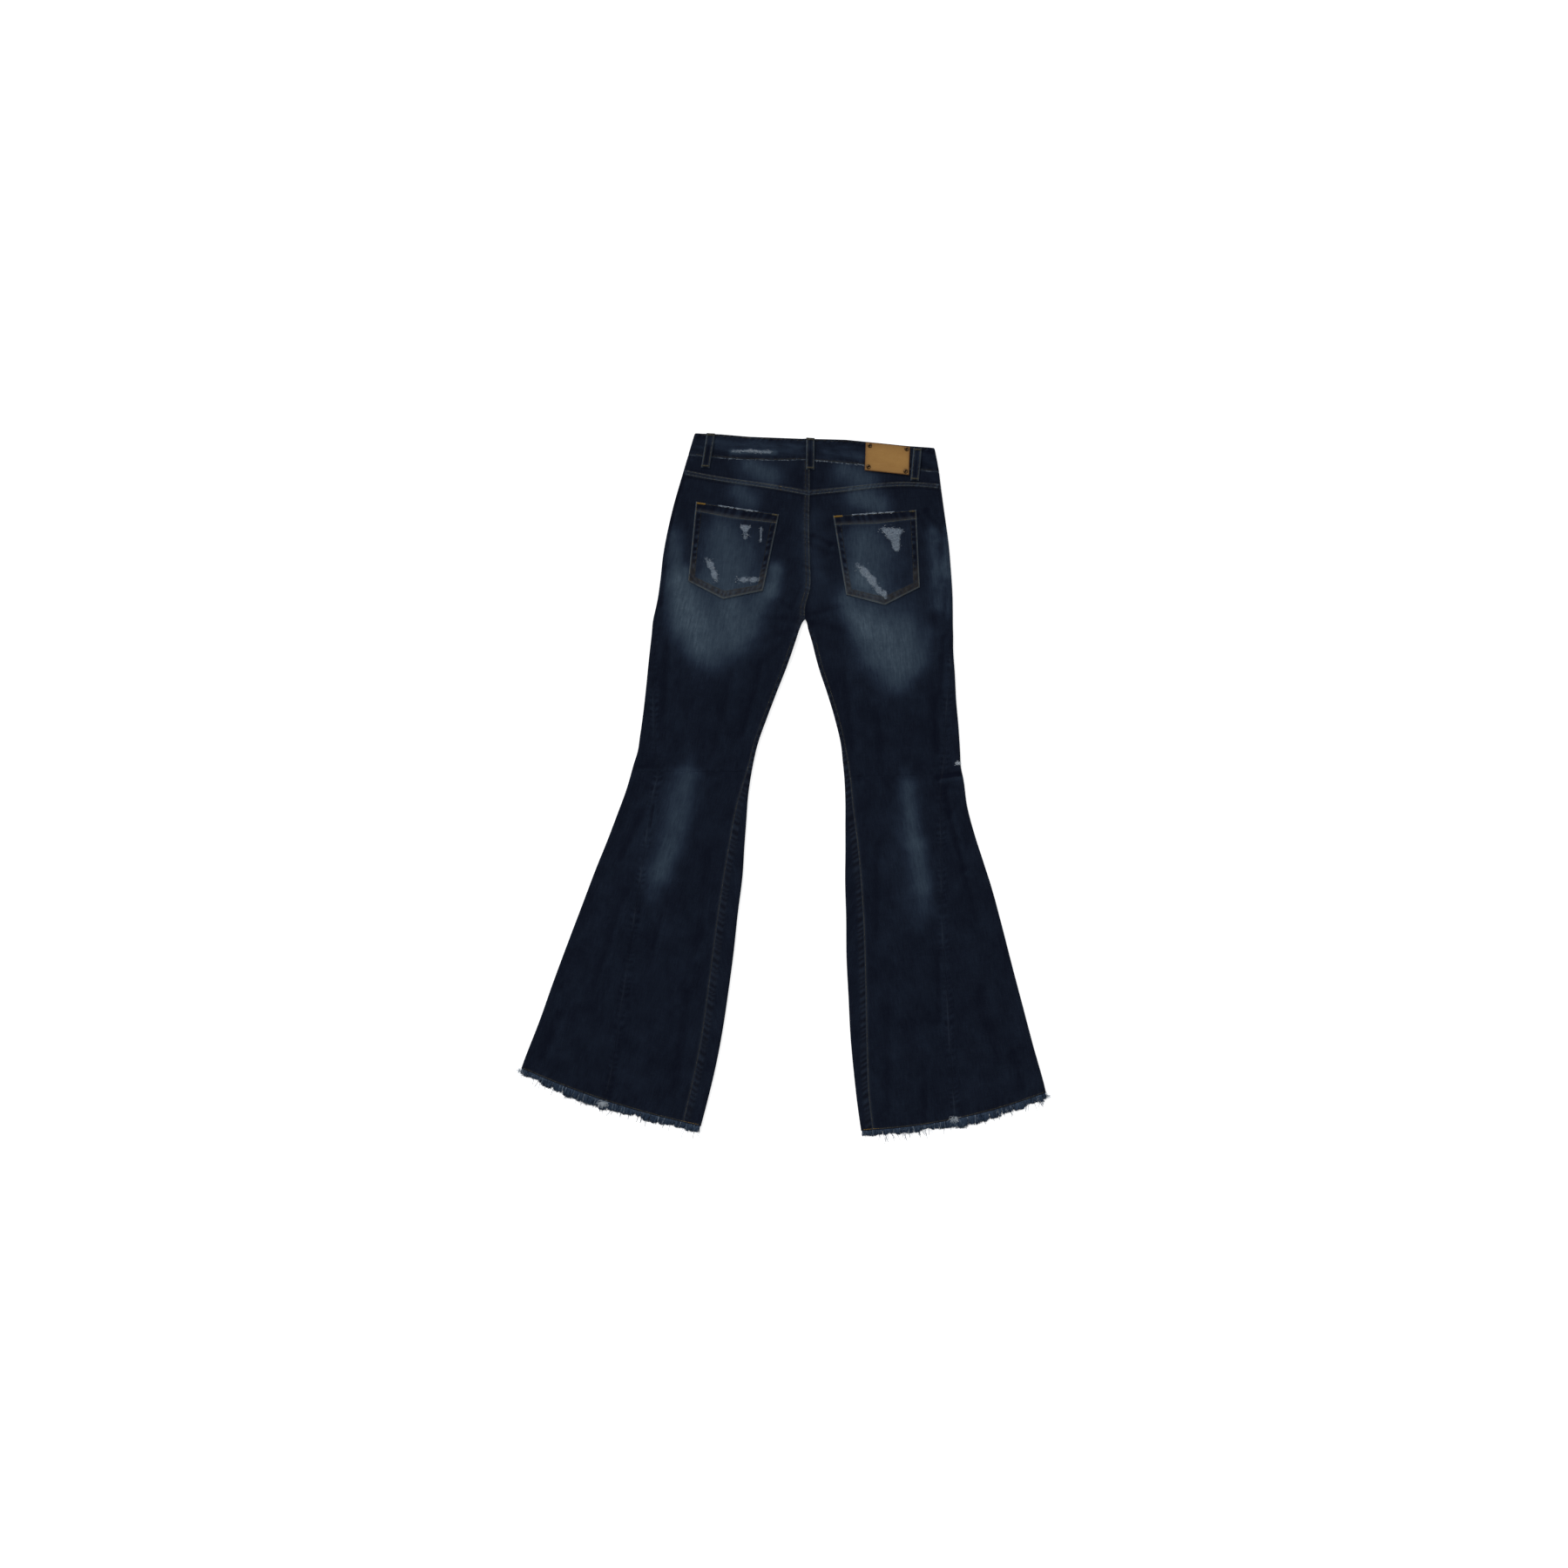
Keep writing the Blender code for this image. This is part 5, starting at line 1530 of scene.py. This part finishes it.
def pocket_lines(side):
    """The lines of stitching on a pocket: round its edge, round its border, along its top and its hem."""
    width, length = pocket_sizes(side)
    lines = []
    for inset, start in ((1.7, 1.8), (POCKET_BORDER - 1.0, POCKET_HEM - 1.0)):
        down = np.linspace(start, length - inset, 60)
        run = np.linspace(inset, width - inset, 60)[1:-1]
        across = np.concatenate([np.full(60, inset), run, np.full(60, width - inset)])
        lines.append((across, np.concatenate([down, np.full(58, length - inset), down[::-1]])))
    lines += [(np.linspace(1.7, width - 1.7, 80), np.full(80, depth)) for depth in (1.8, POCKET_HEM - 1.0)]
    for across, down in lines:
        shares = np.stack([across / width, down / length], -1)[..., None]
        spots = np.array([quad_grid(POCKETS[side], *share)[0, 0] for share in shares])
        relief = pocket_height(side, across, down).relief
        yield with_height(spots, back_top(*xy(spots)) + POCKET_GAP + POCKET_CLOTH + relief + ON_CLOTH)


def pocket_gold(side):
    """Pocket thread is bright gold at one top corner only, the left one as seen."""
    corner = POCKETS[side][0 if side == LEFT else 1]

    def gold(x, y):
        near = bell(np.hypot(x - corner[0], y - corner[1]), 9.0)
        return 0.46 + 0.4 * near + 0.08 * ripples(x, y, 20, 50, 83)

    return gold


def loop_top(x, y):
    """Height that a belt loop's bar tacks lie on, at points (x, y)."""
    return band_surface(x, y) + LOOP_GAP + LOOP_CLOTH + 0.1


# --- loose threads


def loose_paths(starts, headings, lengths, rings, draw, curl, sag=0.0):
    """Paths of short loose threads: each heads off from its start and turns a little at every ring."""
    count = len(starts)
    angle = headings[:, None] + np.cumsum(draw.normal(0, curl, (count, rings)), axis=1)
    steps = (lengths / (rings - 1))[:, None, None] * np.stack([np.cos(angle), np.sin(angle)], -1)
    steps[:, 0] = 0
    t = np.linspace(0, 1, rings)
    height = starts[:, 2:] + np.sin(math.pi * t) * draw.uniform(0.15, 0.8, (count, 1)) - sag * t
    return with_height(starts[:, None, :2] + np.cumsum(steps, axis=1), height)


def in_strokes(table, density, draw):
    """Random points inside soft strokes, as many as their areas ask for."""
    found = []
    for x0, y0, x1, y1, half_width, strength in table:
        run_x, run_y = x1 - x0, y1 - y0
        length = math.hypot(run_x, run_y)
        count = int(density * strength * 2 * half_width * (length + half_width))
        t = draw.uniform(-0.1, 1.1, count)
        off = draw.normal(0, 0.42 * half_width, count) / length
        found.append(np.column_stack([x0 + t * run_x - off * run_y, y0 + t * run_y + off * run_x]))
    return np.concatenate(found)


def weft_threads(spots, top, draw, longest=3.6, spread=0.28, lean=0.0):
    """Broken weft threads lying across a worn place, most of them level, a few standing."""
    count = len(spots)
    heading = draw.normal(lean, spread, count) + math.pi * draw.integers(0, 2, count)
    length = draw.uniform(0.35, 1.0, count) * longest
    starts = with_height(spots, top(*xy(spots)))
    starts[:, 0] -= 0.5 * length * np.cos(heading)
    paths = loose_paths(starts, heading, length, FIBRE_RINGS, draw, 0.8 * spread)
    paths[..., 2] = top(*xy(paths)) + (paths[..., 2] - starts[:, 2:]) * 0.7 + 0.05
    radii = np.array((0.5, 1.0, 1.0, 0.9, 0.4)) * draw.uniform(0.08, 0.15, (count, 1))
    return paths, radii, draw.uniform(0.10, 0.95, count)


FIBRE_RINGS = 5  # points along a short thread
FRINGE = Table(
    "share left right",  # from the inner to the outer end of a hem, and the fringe's fullness there
    (0.00, 0.80, 0.65),
    (0.15, 0.85, 0.70),
    (0.38, 0.82, 0.72),
    (0.52, 1.08, 1.10),
    (0.64, 1.10, 1.08),
    (0.78, 1.00, 0.85),
    (0.90, 0.70, 0.80),
    (1.00, 0.60, 0.72),
)


def hem_level(rows, layer, away):
    """Height of the middle of one layer of the hem."""
    return rows.middle(away) if layer == "back" else np.full(away.shape, CLOTH / 2)


def fringe_fibres(side, layer, sizes):
    """Loose warp below one layer of a hem, gathered in locks.

    A fibre leaves the hem square to it, leans toward its lock's middle by a share that grows with the
    distance squared, and curls by a sine of its own. Its height follows the layer it grows from.
    """
    rows = Rows(side, [HEM])
    width = rows.width[0]
    draw = np.random.default_rng((side + 1, layer == "back", 7))
    count = int(width * sizes.fringe_fibres)
    each = (count, 1)
    away = np.sort(draw.uniform(1.2, width - 1.2, count))
    locks = np.sort(draw.uniform(0, width, int(width / 3.4)))
    lock = locks[np.argmin(np.abs(away[:, None] - locks[None]), axis=1)]
    t = np.linspace(0, 1, FIBRE_RINGS)
    fullness = 0.86 + 0.20 * ripples(away, 0 * away, 9, 30, 85) + 0.14 * ripples(away, 0 * away, 40, 90, 86)
    fullness = np.clip(fullness, 0.6, 1.2) * FRINGE.curve(away / width, SIDE_NAME[side])
    length = sizes.fringe_length / MM * fullness * draw.uniform(0.76, 1.04, count)
    strays = draw.random(count) < 0.012
    length[strays] = draw.uniform(15, 22, strays.sum())
    length = length[:, None]
    drift = (lock - away)[:, None] * 0.5 * t**1.5 + length * draw.normal(0.0, 0.14, each) * t**2
    curl = draw.uniform(0.1, 0.9, each)
    drift = drift + curl * np.sin(TAU * (draw.uniform(0.5, 1.3, each) * t + draw.random(each))) * t
    spots = rows.spots(away[None])[0][:, None] + drift[..., None] * rows.along[0]
    spots = spots - (length * t)[..., None] * rows.up[0]
    loft = draw.normal(0, 0.28, each) + draw.normal(0, 0.5, each) * t
    height = hem_level(rows, layer, away[None]).T * (1 - 0.35 * t) + loft
    radii = draw.uniform(0.26, 0.50, each) * np.array((1.0, 1.0, 1.0, 0.9, 0.7))
    kinds = draw.random(count)
    shade = np.where(kinds < 0.22, draw.uniform(0.0, 0.25, count), draw.uniform(0.36, 0.58, count))
    shade = np.where(kinds > 0.94, draw.uniform(0.6, 0.9, count), shade)
    return with_height(spots, height), radii, shade


def fringe_weft(side, layer):
    """Half-freed weft threads that run along the hem, wavering, over the roots of the fringe."""
    rows = Rows(side, [HEM])
    draw = np.random.default_rng((side + 1, layer == "back", 8))
    count = 46
    each = (count, 1)
    start = draw.uniform(3, rows.width[0] - 34, each)
    away = start + draw.uniform(10, 30, each) * np.linspace(0, 1, FIBRE_RINGS)
    beyond = draw.uniform(0.2, 3.2, each) + 0.5 * np.sin(away / draw.uniform(2, 5, each))
    line = away.reshape(1, -1)
    spots = rows.spots(line).reshape(*away.shape, 2) - beyond[..., None] * rows.up[0]
    height = hem_level(rows, layer, line).reshape(away.shape) + draw.uniform(0.0, 0.5, each)
    radii = np.tile(draw.uniform(0.14, 0.22, each), (1, FIBRE_RINGS))
    return with_height(spots, height), radii, draw.uniform(0.35, 0.75, count)


TUFTS = (
    # name, x, y, heading in degrees, spread in degrees, reach along x, fibres, longest, height
    ("left_hem_tuft", -274, -500, 262, 34, 6.0, 120, 9.0, 3.2),
    ("right_hem_tuft", 264, -497, 268, 30, 5.0, 80, 8.5, 3.0),
    ("right_knee_tuft", 243, 45, 200, 80, 3.0, 90, 4.6, 4.3),
    ("left_hem_corner_tuft", -402, -456, 215, 40, 3.0, 40, 8.0, 1.6),
    ("right_hem_corner_tuft", 402, -456, 325, 40, 3.0, 40, 8.0, 1.6),
)
LONG_THREADS = (
    # start x, start y, heading in degrees, length, height
    (-128, -540, 285, 17, 2.0),
    (-148, -536, 250, 14, 1.8),
    (-214, -524, 262, 15, 1.8),
    (-330, -488, 240, 14, 1.8),
    (-392, -462, 205, 13, 1.8),
    (132, -536, 262, 15, 1.8),
    (150, -534, 300, 13, 1.8),
    (228, -514, 275, 14, 1.8),
    (300, -492, 290, 13, 1.8),
    (392, -462, 330, 12, 1.8),
)


# --- add-on: settings


def setting(name, description, default, **more):
    return bpy.props.FloatProperty(name=name, description=description, default=default, **more)


def length_setting(name, description, metres, **more):
    return setting(name, description, metres, unit="LENGTH", **more)


def colour_setting(name, description, *shades):
    """A colour that the user can change, given as 0 to 255 in sRGB."""
    return bpy.props.FloatVectorProperty(
        name=name, description=description, subtype="COLOR", size=3, default=linear(*shades), min=0.0, max=1.0
    )


class JeansSizes(bpy.types.PropertyGroup):
    """Sizes of the cloth's mesh, the thread and the fringe."""

    cell: length_setting("Cell", "Spacing of the points across the cloth", 0.0026, min=0.001)
    row: length_setting("Row", "Spacing of the points down the cloth", 0.0022, min=0.001)
    stitch_pitch: length_setting("Stitch pitch", "From one stitch to the next", 0.0036, min=0.001)
    stitch_width: length_setting("Stitch width", "Thickness of the topstitching", 0.0008)
    fringe_length: length_setting("Fringe length", "Usual length of the loose warp at the hems", 0.0150)
    fringe_fibres: setting("Fringe fibres", "Fibres in each millimetre of hem", 5.8, min=0.5, max=8.0)


class JeansColours(bpy.types.PropertyGroup):
    """Colours of the cloth, thread, yarn, leather and metal."""

    dark_denim: colour_setting("Dark denim", "Cloth that has not faded", 13, 17, 29)
    blue_denim: colour_setting("Blue denim", "Cloth that has begun to fade", 27, 37, 53)
    mid_denim: colour_setting("Middle denim", "Cloth half faded", 45, 58, 72)
    worn_denim: colour_setting("Worn denim", "Cloth faded most", 71, 86, 99)
    pale_yarn: colour_setting("Pale yarn", "Weft bared by wear", 150, 162, 175)
    white_yarn: colour_setting("White yarn", "Palest weft", 205, 212, 218)
    rust: colour_setting("Browned cloth", "Cloth tinted brown along the seams", 62, 60, 57)
    thread_dark: colour_setting("Thread in shade", "Thread between its strands", 40, 38, 32)
    thread_faded: colour_setting("Faded thread", "Topstitching over most seams", 86, 84, 72)
    thread_gold: colour_setting("Gold thread", "Topstitching where it has kept its colour", 160, 124, 52)
    fringe_dark: colour_setting("Dark fringe", "Indigo yarn in the fringe", 24, 33, 49)
    fringe_blue: colour_setting("Blue fringe", "Faded yarn in the fringe", 58, 74, 95)
    fringe_pale: colour_setting("Pale fringe", "White yarn in the fringe", 146, 158, 170)
    leather: colour_setting("Leather", "Tan of the patch", 151, 113, 60)
    leather_dark: colour_setting("Leather in its pores", "Darker tan", 134, 96, 48)
    leather_pale: colour_setting("Leather where scuffed", "Paler tan", 178, 140, 88)
    leather_burnt: colour_setting("Leather at its edge", "Burnished edge", 84, 54, 26)
    brass: colour_setting("Brass", "Rubbed metal of the rivets", 122, 92, 56)
    tarnish: colour_setting("Tarnish", "Dark metal", 38, 26, 20)
    button: colour_setting("Button metal", "Rubbed metal of the button", 160, 150, 135)


class JeansStage(bpy.types.PropertyGroup):
    """Camera, light and floor."""

    camera_x: length_setting("Camera X", "Camera's place across the garment", -0.0215)
    camera_y: length_setting("Camera Y", "Camera's place along the garment", 0.007)
    view_width: length_setting("View width", "Width of floor that the picture shows", 2.394)
    turn: setting("Turn", "Turn of the camera about its view", math.radians(2.8), subtype="ANGLE")
    key_strength: setting("Key light", "Strength of the broad low light from the upper left", 2.3)
    fill: setting("Fill", "Strength of the even light all round", 0.36)
    floor_glow: setting("Floor glow", "Light box under the floor", 0.55)


# --- add-on: operators


class JeansOperator:
    """What every operator here shares."""

    bl_options = {"REGISTER", "UNDO"}

    def execute(self, context):
        self.make(context.scene)
        return {"FINISHED"}


class JEANS_OT_fronts(JeansOperator, bpy.types.Operator):
    """Front panels, wrapped round the side folds, and the fly facing"""

    bl_idname = "jeans.fronts"
    bl_label = "Front Panels and Fly"

    def make(self, scene):
        row, cell = scene.jeans_sizes.row / MM, scene.jeans_sizes.cell / MM
        upper = stations_down(WAIST, KNEE, row, (0.0, -JOIN))
        lower = stations_down(KNEE, HEM, row, (-JOIN, 0.0))
        for side in SIDES:
            front_piece("front_upper", side, upper, cell, 7, UPPER_LEAN)
            front_piece("front_bell", side, lower, cell, 36, BELL_LEAN)
        make_fly()


class JEANS_OT_backs(JeansOperator, bpy.types.Operator):
    """Back panels of the seat, thighs and bells"""

    bl_idname = "jeans.backs"
    bl_label = "Back Panels"

    def make(self, scene):
        row, cell = scene.jeans_sizes.row / MM, scene.jeans_sizes.cell / MM
        for side in SIDES:
            back_piece("back_upper", side, stations_down(YOKE_SEAM, KNEE, row), cell, UPPER_LEAN)
            back_piece("back_bell", side, stations_down(KNEE, HEM, row, (-JOIN, 0.0)), cell, BELL_LEAN)


class JEANS_OT_yokes(JeansOperator, bpy.types.Operator):
    """Back yokes, lapped over the seat below them"""

    bl_idname = "jeans.yokes"
    bl_label = "Yokes"

    def make(self, scene):
        stations = stations_down(WAIST, YOKE_SEAM, 1.6, (0.0, -STRIP))
        for side in SIDES:
            back_piece("yoke", side, stations, scene.jeans_sizes.cell / MM, 0.0, STRIP)


class JEANS_OT_waistband(JeansOperator, bpy.types.Operator):
    """The waistband, one strip round the waist"""

    bl_idname = "jeans.waistband"
    bl_label = "Waistband"

    def make(self, scene):
        make_waistband(scene.jeans_sizes)


class JEANS_OT_pockets(JeansOperator, bpy.types.Operator):
    """The two patch pockets on the seat"""

    bl_idname = "jeans.pockets"
    bl_label = "Pockets"

    def make(self, scene):
        for side in SIDES:
            make_pocket(side)


class JEANS_OT_belt_loops(JeansOperator, bpy.types.Operator):
    """The three belt loops at the back"""

    bl_idname = "jeans.belt_loops"
    bl_label = "Belt Loops"

    def make(self, scene):
        for loop in LOOPS:
            make_loop(*loop)


class JEANS_OT_patch(JeansOperator, bpy.types.Operator):
    """The bare leather patch and its four ring rivets"""

    bl_idname = "jeans.patch"
    bl_label = "Leather Patch and Rivets"

    def make(self, scene):
        make_patch()
        for number, place in enumerate(RIVETS, start=1):
            make_rivet(number, place)


class JEANS_OT_button(JeansOperator, bpy.types.Operator):
    """The waist button, under the garment"""

    bl_idname = "jeans.button"
    bl_label = "Waist Button"

    def make(self, scene):
        make_button()


class JEANS_OT_stitches(JeansOperator, bpy.types.Operator):
    """Topstitching of the seams, pockets, waistband, belt loops and hems, with the bar tacks"""

    bl_idname = "jeans.stitches"
    bl_label = "Stitching"

    def make(self, scene):
        for side, name in SIDE_NAME.items():
            yoke = [across_line(side, YOKE_SEAM, past, 3.0, 7.0) for past in (0.8 - STRIP, STRIP - 0.9)]
            yoke = [stitch_run(line, faded_thread, 101 + side) for line in yoke]
            for paths, _, _ in yoke:
                paths[..., 2] += 0.55  # up onto the lap
            add_stitches("yoke_" + name, yoke)

            crotch = np.interp(DOWN_THE_LEG[CROTCH] + 34, DOWN_THE_LEG, np.arange(5))
            stations = np.linspace(crotch, HEM - 0.002, 260)
            line = leg_line(side, stations, Rows(side, stations).inseam + 2.0)
            add_stitches("inseam_" + name, [stitch_run(line, 0.20 + 0.06 * side, 104 + side)])
            line = across_line(side, HEM, -1.8, 3.4, 3.4, 140)
            add_stitches("hem_" + name, [stitch_run(line, hem_gold, 107 + side)])

            lines = zip(pocket_lines(side), (pocket_gold(side), 0.10, 0.22, 0.42))
            pocket = [stitch_run(line, shade, 110 + side + k) for k, (line, shade) in enumerate(lines)]
            ends = np.array(POCKETS[side][:2], float)[::-side]
            for k, (start, toward) in enumerate((ends, ends[::-1])):
                way = (toward - start) / np.hypot(*(toward - start))
                begin = start + 1.6 * way + (0.0, -1.9)
                tack = bar_tack(begin, begin + (13 - 4 * k) * way, pocket_top, 0.92 - 0.4 * k, 120 + k)
                pocket.append(tack)
            add_stitches("pocket_" + name, pocket)

        stations = np.linspace(0.06, CROTCH - 0.03, 140)
        seat = [(leg_line(LEFT, stations, at), 0.36 - 0.03 * at) for at in (1.5, SEAT_STRIP - 1.4)]
        add_stitches("seat", [stitch_run(line, shade, 130) for line, shade in seat])

        band = []
        for up in (2.2, BAND_HEIGHT - 2.2):
            for side in SIDES:
                away = np.linspace(0.5, Rows(side, [WAIST]).width[0] - BAND_ROOM - 1.0, 120)[None]
                spots = band_spots(side, away, up)[0]
                line = with_height(spots, BAND_TOP + band_looks(spots[:, 0], up).relief + ON_CLOTH)
                band.append(stitch_run(line, 0.16, 140 + side))
        add_stitches("waistband", band)

        for name, top_x, top_y, low_x, low_y in LOOPS:
            v = np.linspace(0.04, 0.97, 60)
            middle = np.column_stack([top_x + v * (low_x - top_x), top_y + v * (low_y - top_y)])
            line = with_height(middle, loop_top(*middle.T) + loop_rise(v) + 0.30)
            half = LOOP_WIDTH / 2 - 0.8
            runs = [stitch_run(line + (off, 0, 0), 0.30, 150) for off in (1.2 - half, half - 1.2)]
            for x, y in ((top_x, top_y - 2.4), (low_x, low_y + 3.0)):
                runs.append(bar_tack((x - half, y), (x + half, y), loop_top, 0.38, 151))
            add_stitches(name, runs)


class JEANS_OT_worn_threads(JeansOperator, bpy.types.Operator):
    """Bared weft threads in the worn places of the pockets and the waistband"""

    bl_idname = "jeans.worn_threads"
    bl_label = "Worn Threads"

    def make(self, scene):
        for side, name in SIDE_NAME.items():
            draw = np.random.default_rng(200 + side)
            runs = [weft_threads(in_strokes(POCKET_WORN[side], 0.20, draw), pocket_top, draw)]
            u = draw.uniform(*POCKET_TOP_WORN[side], 150)
            u = u[ticks(u * pocket_sizes(side)[0], 13.0, 41) > -0.35]
            edge = quad_grid(POCKETS[side], u, np.zeros(1))[0]
            edge[:, 1] -= draw.uniform(0.3, 2.2, len(edge))
            runs.append(weft_threads(edge, pocket_top, draw, 5.0, 0.12, side * 0.11))
            add_threads("worn_threads_pocket_" + name, runs, "pale")

        draw = np.random.default_rng(205)
        spots = in_strokes(BAND_WORN, 0.35, draw)
        x = np.concatenate([draw.uniform(2, 78, 110), draw.uniform(-150, -14, 60)])
        seam = np.column_stack([x, waist_seam_y(x) + draw.normal(0.7, 0.4, len(x))])
        spots = np.concatenate([spots, seam[ticks(x, 12.0, 78) > -0.3]])
        runs = [weft_threads(spots, band_surface, draw, 3.4)]
        add_threads("worn_threads_waistband", runs, "pale")


class JEANS_OT_fringes(JeansOperator, bpy.types.Operator):
    """Frayed hems: the fibres of both layers, the tufts and the long loose threads"""

    bl_idname = "jeans.fringes"
    bl_label = "Frayed Hems"

    def make(self, scene):
        for side, side_name in SIDE_NAME.items():
            for layer in ("back", "front"):
                runs = [fringe_fibres(side, layer, scene.jeans_sizes), fringe_weft(side, layer)]
                name, node = f"fringe_fibres_{layer}_{side_name}", f"fringe_{layer}_{side_name}"
                add_threads(name, runs, "fringe", stands_for=[node])

        for number, (name, x, y, heading, spread, reach, count, longest, level) in enumerate(TUFTS):
            draw = np.random.default_rng(300 + number)
            places = ((x, reach / 2), (y, 1.4), (level, 0.5))
            starts = np.column_stack([draw.normal(middle, stray, count) for middle, stray in places])
            headings = np.radians(draw.normal(heading, spread, count))
            paths = loose_paths(starts, headings, draw.uniform(0.3, 1.0, count) * longest, 6, draw, 0.45)
            radii = draw.uniform(0.16, 0.28, (count, 1)) * np.array((0.8, 1, 1, 0.9, 0.7, 0.3))
            run = (paths, radii, draw.uniform(0.55, 1.0, count))
            add_threads(name, [run], "pale", floor=0.05)

        draw = np.random.default_rng(350)
        x, y, heading, lengths, height = np.array(LONG_THREADS, float).T
        starts = np.column_stack([x, y, height])
        paths = loose_paths(starts, np.radians(heading), lengths, 24, draw, 0.30, 1.4)
        radii = np.tile(0.22 * np.concatenate([np.ones(20), (0.9, 0.8, 0.6, 0.3)]), (len(x), 1))
        run = (paths, radii, draw.uniform(0.3, 1.0, len(x)))
        add_threads("long_loose_threads", [run], "fringe", floor=0.1)


class JEANS_OT_declare_cloth(JeansOperator, bpy.types.Operator):
    """Works out the width and length of every piece of cloth, and uses them for nothing"""

    bl_idname = "jeans.declare_cloth"
    bl_label = "Declare the Cloth"

    def make(self, scene):
        for node, (piece, middle) in CLOTH_PIECES.items():
            declare_cloth(middle)


class JEANS_OT_stage(JeansOperator, bpy.types.Operator):
    """Pale floor, soft light and the camera straight above"""

    bl_idname = "jeans.stage"
    bl_label = "Stage"

    def make(self, scene):
        stage = scene.jeans_stage
        scene.view_settings.view_transform = "Standard"

        half, level = 8.0, -0.0002  # just under the cloth
        mesh = bpy.data.meshes.new("floor")
        corners = [(x * half, y * half, level) for x, y in ((-1, -1), (1, -1), (1, 1), (-1, 1))]
        mesh.from_pydata(corners, [], [(0, 1, 2, 3)])
        mesh.materials.append(floor_finish(stage.floor_glow))
        floor = bpy.data.objects.new("floor", mesh)
        scene.collection.objects.link(floor)

        lens, sensor = 50.0, 36.0
        data = bpy.data.cameras.new("camera_above")
        data.lens, data.sensor_width = lens, sensor
        camera = bpy.data.objects.new("camera_above", data)
        camera.location = (stage.camera_x, stage.camera_y, 0.003 + stage.view_width * lens / sensor)
        camera.rotation_euler = (0.0, 0.0, stage.turn)
        scene.collection.objects.link(camera)
        scene.camera = camera

        for name, height, turn, share in (("key_light", 32, 128, 1.0), ("side_light", 48, -20, 0.22)):
            data = bpy.data.lights.new(name, "SUN")
            data.energy, data.angle = stage.key_strength * share, math.radians(24)
            light = bpy.data.objects.new(name, data)
            light.rotation_euler = (0.0, math.radians(90 - height), math.radians(turn))
            scene.collection.objects.link(light)

        world = bpy.data.worlds.new("even_light")
        world.use_nodes = True
        background = world.node_tree.nodes["Background"].inputs
        background["Color"].default_value = (0.97, 0.985, 1.0, 1.0)
        background["Strength"].default_value = stage.fill
        scene.world = world


STEPS = tuple(JeansOperator.__subclasses__())  # in the order that they are written in


class JEANS_PT_panel(bpy.types.Panel):
    """Lists the settings and the steps in order."""

    bl_label = "Flared Jeans"
    bl_idname = "JEANS_PT_panel"
    bl_space_type = "VIEW_3D"
    bl_region_type = "UI"
    bl_category = "Jeans"

    def draw(self, context):
        for group in (context.scene.jeans_sizes, context.scene.jeans_colours, context.scene.jeans_stage):
            box = self.layout.box()
            for each in group.bl_rna.properties:
                if each.identifier not in ("name", "rna_type"):
                    box.prop(group, each.identifier)
        for step in STEPS:
            self.layout.operator(step.bl_idname)


SETTINGS = {"jeans_sizes": JeansSizes, "jeans_colours": JeansColours, "jeans_stage": JeansStage}
CLASSES = (*SETTINGS.values(), *STEPS, JEANS_PT_panel)


def register():
    for made in CLASSES:
        bpy.utils.register_class(made)
    for name, group in SETTINGS.items():
        setattr(bpy.types.Scene, name, bpy.props.PointerProperty(type=group))


def unregister():
    for name in SETTINGS:
        delattr(bpy.types.Scene, name)
    for made in reversed(CLASSES):
        bpy.utils.unregister_class(made)


def main():
    register()
    for step in STEPS:
        group, name = step.bl_idname.split(".")
        getattr(getattr(bpy.ops, group), name)()
    bpy.context.view_layer.update()


if __name__ == "__main__":
    main()
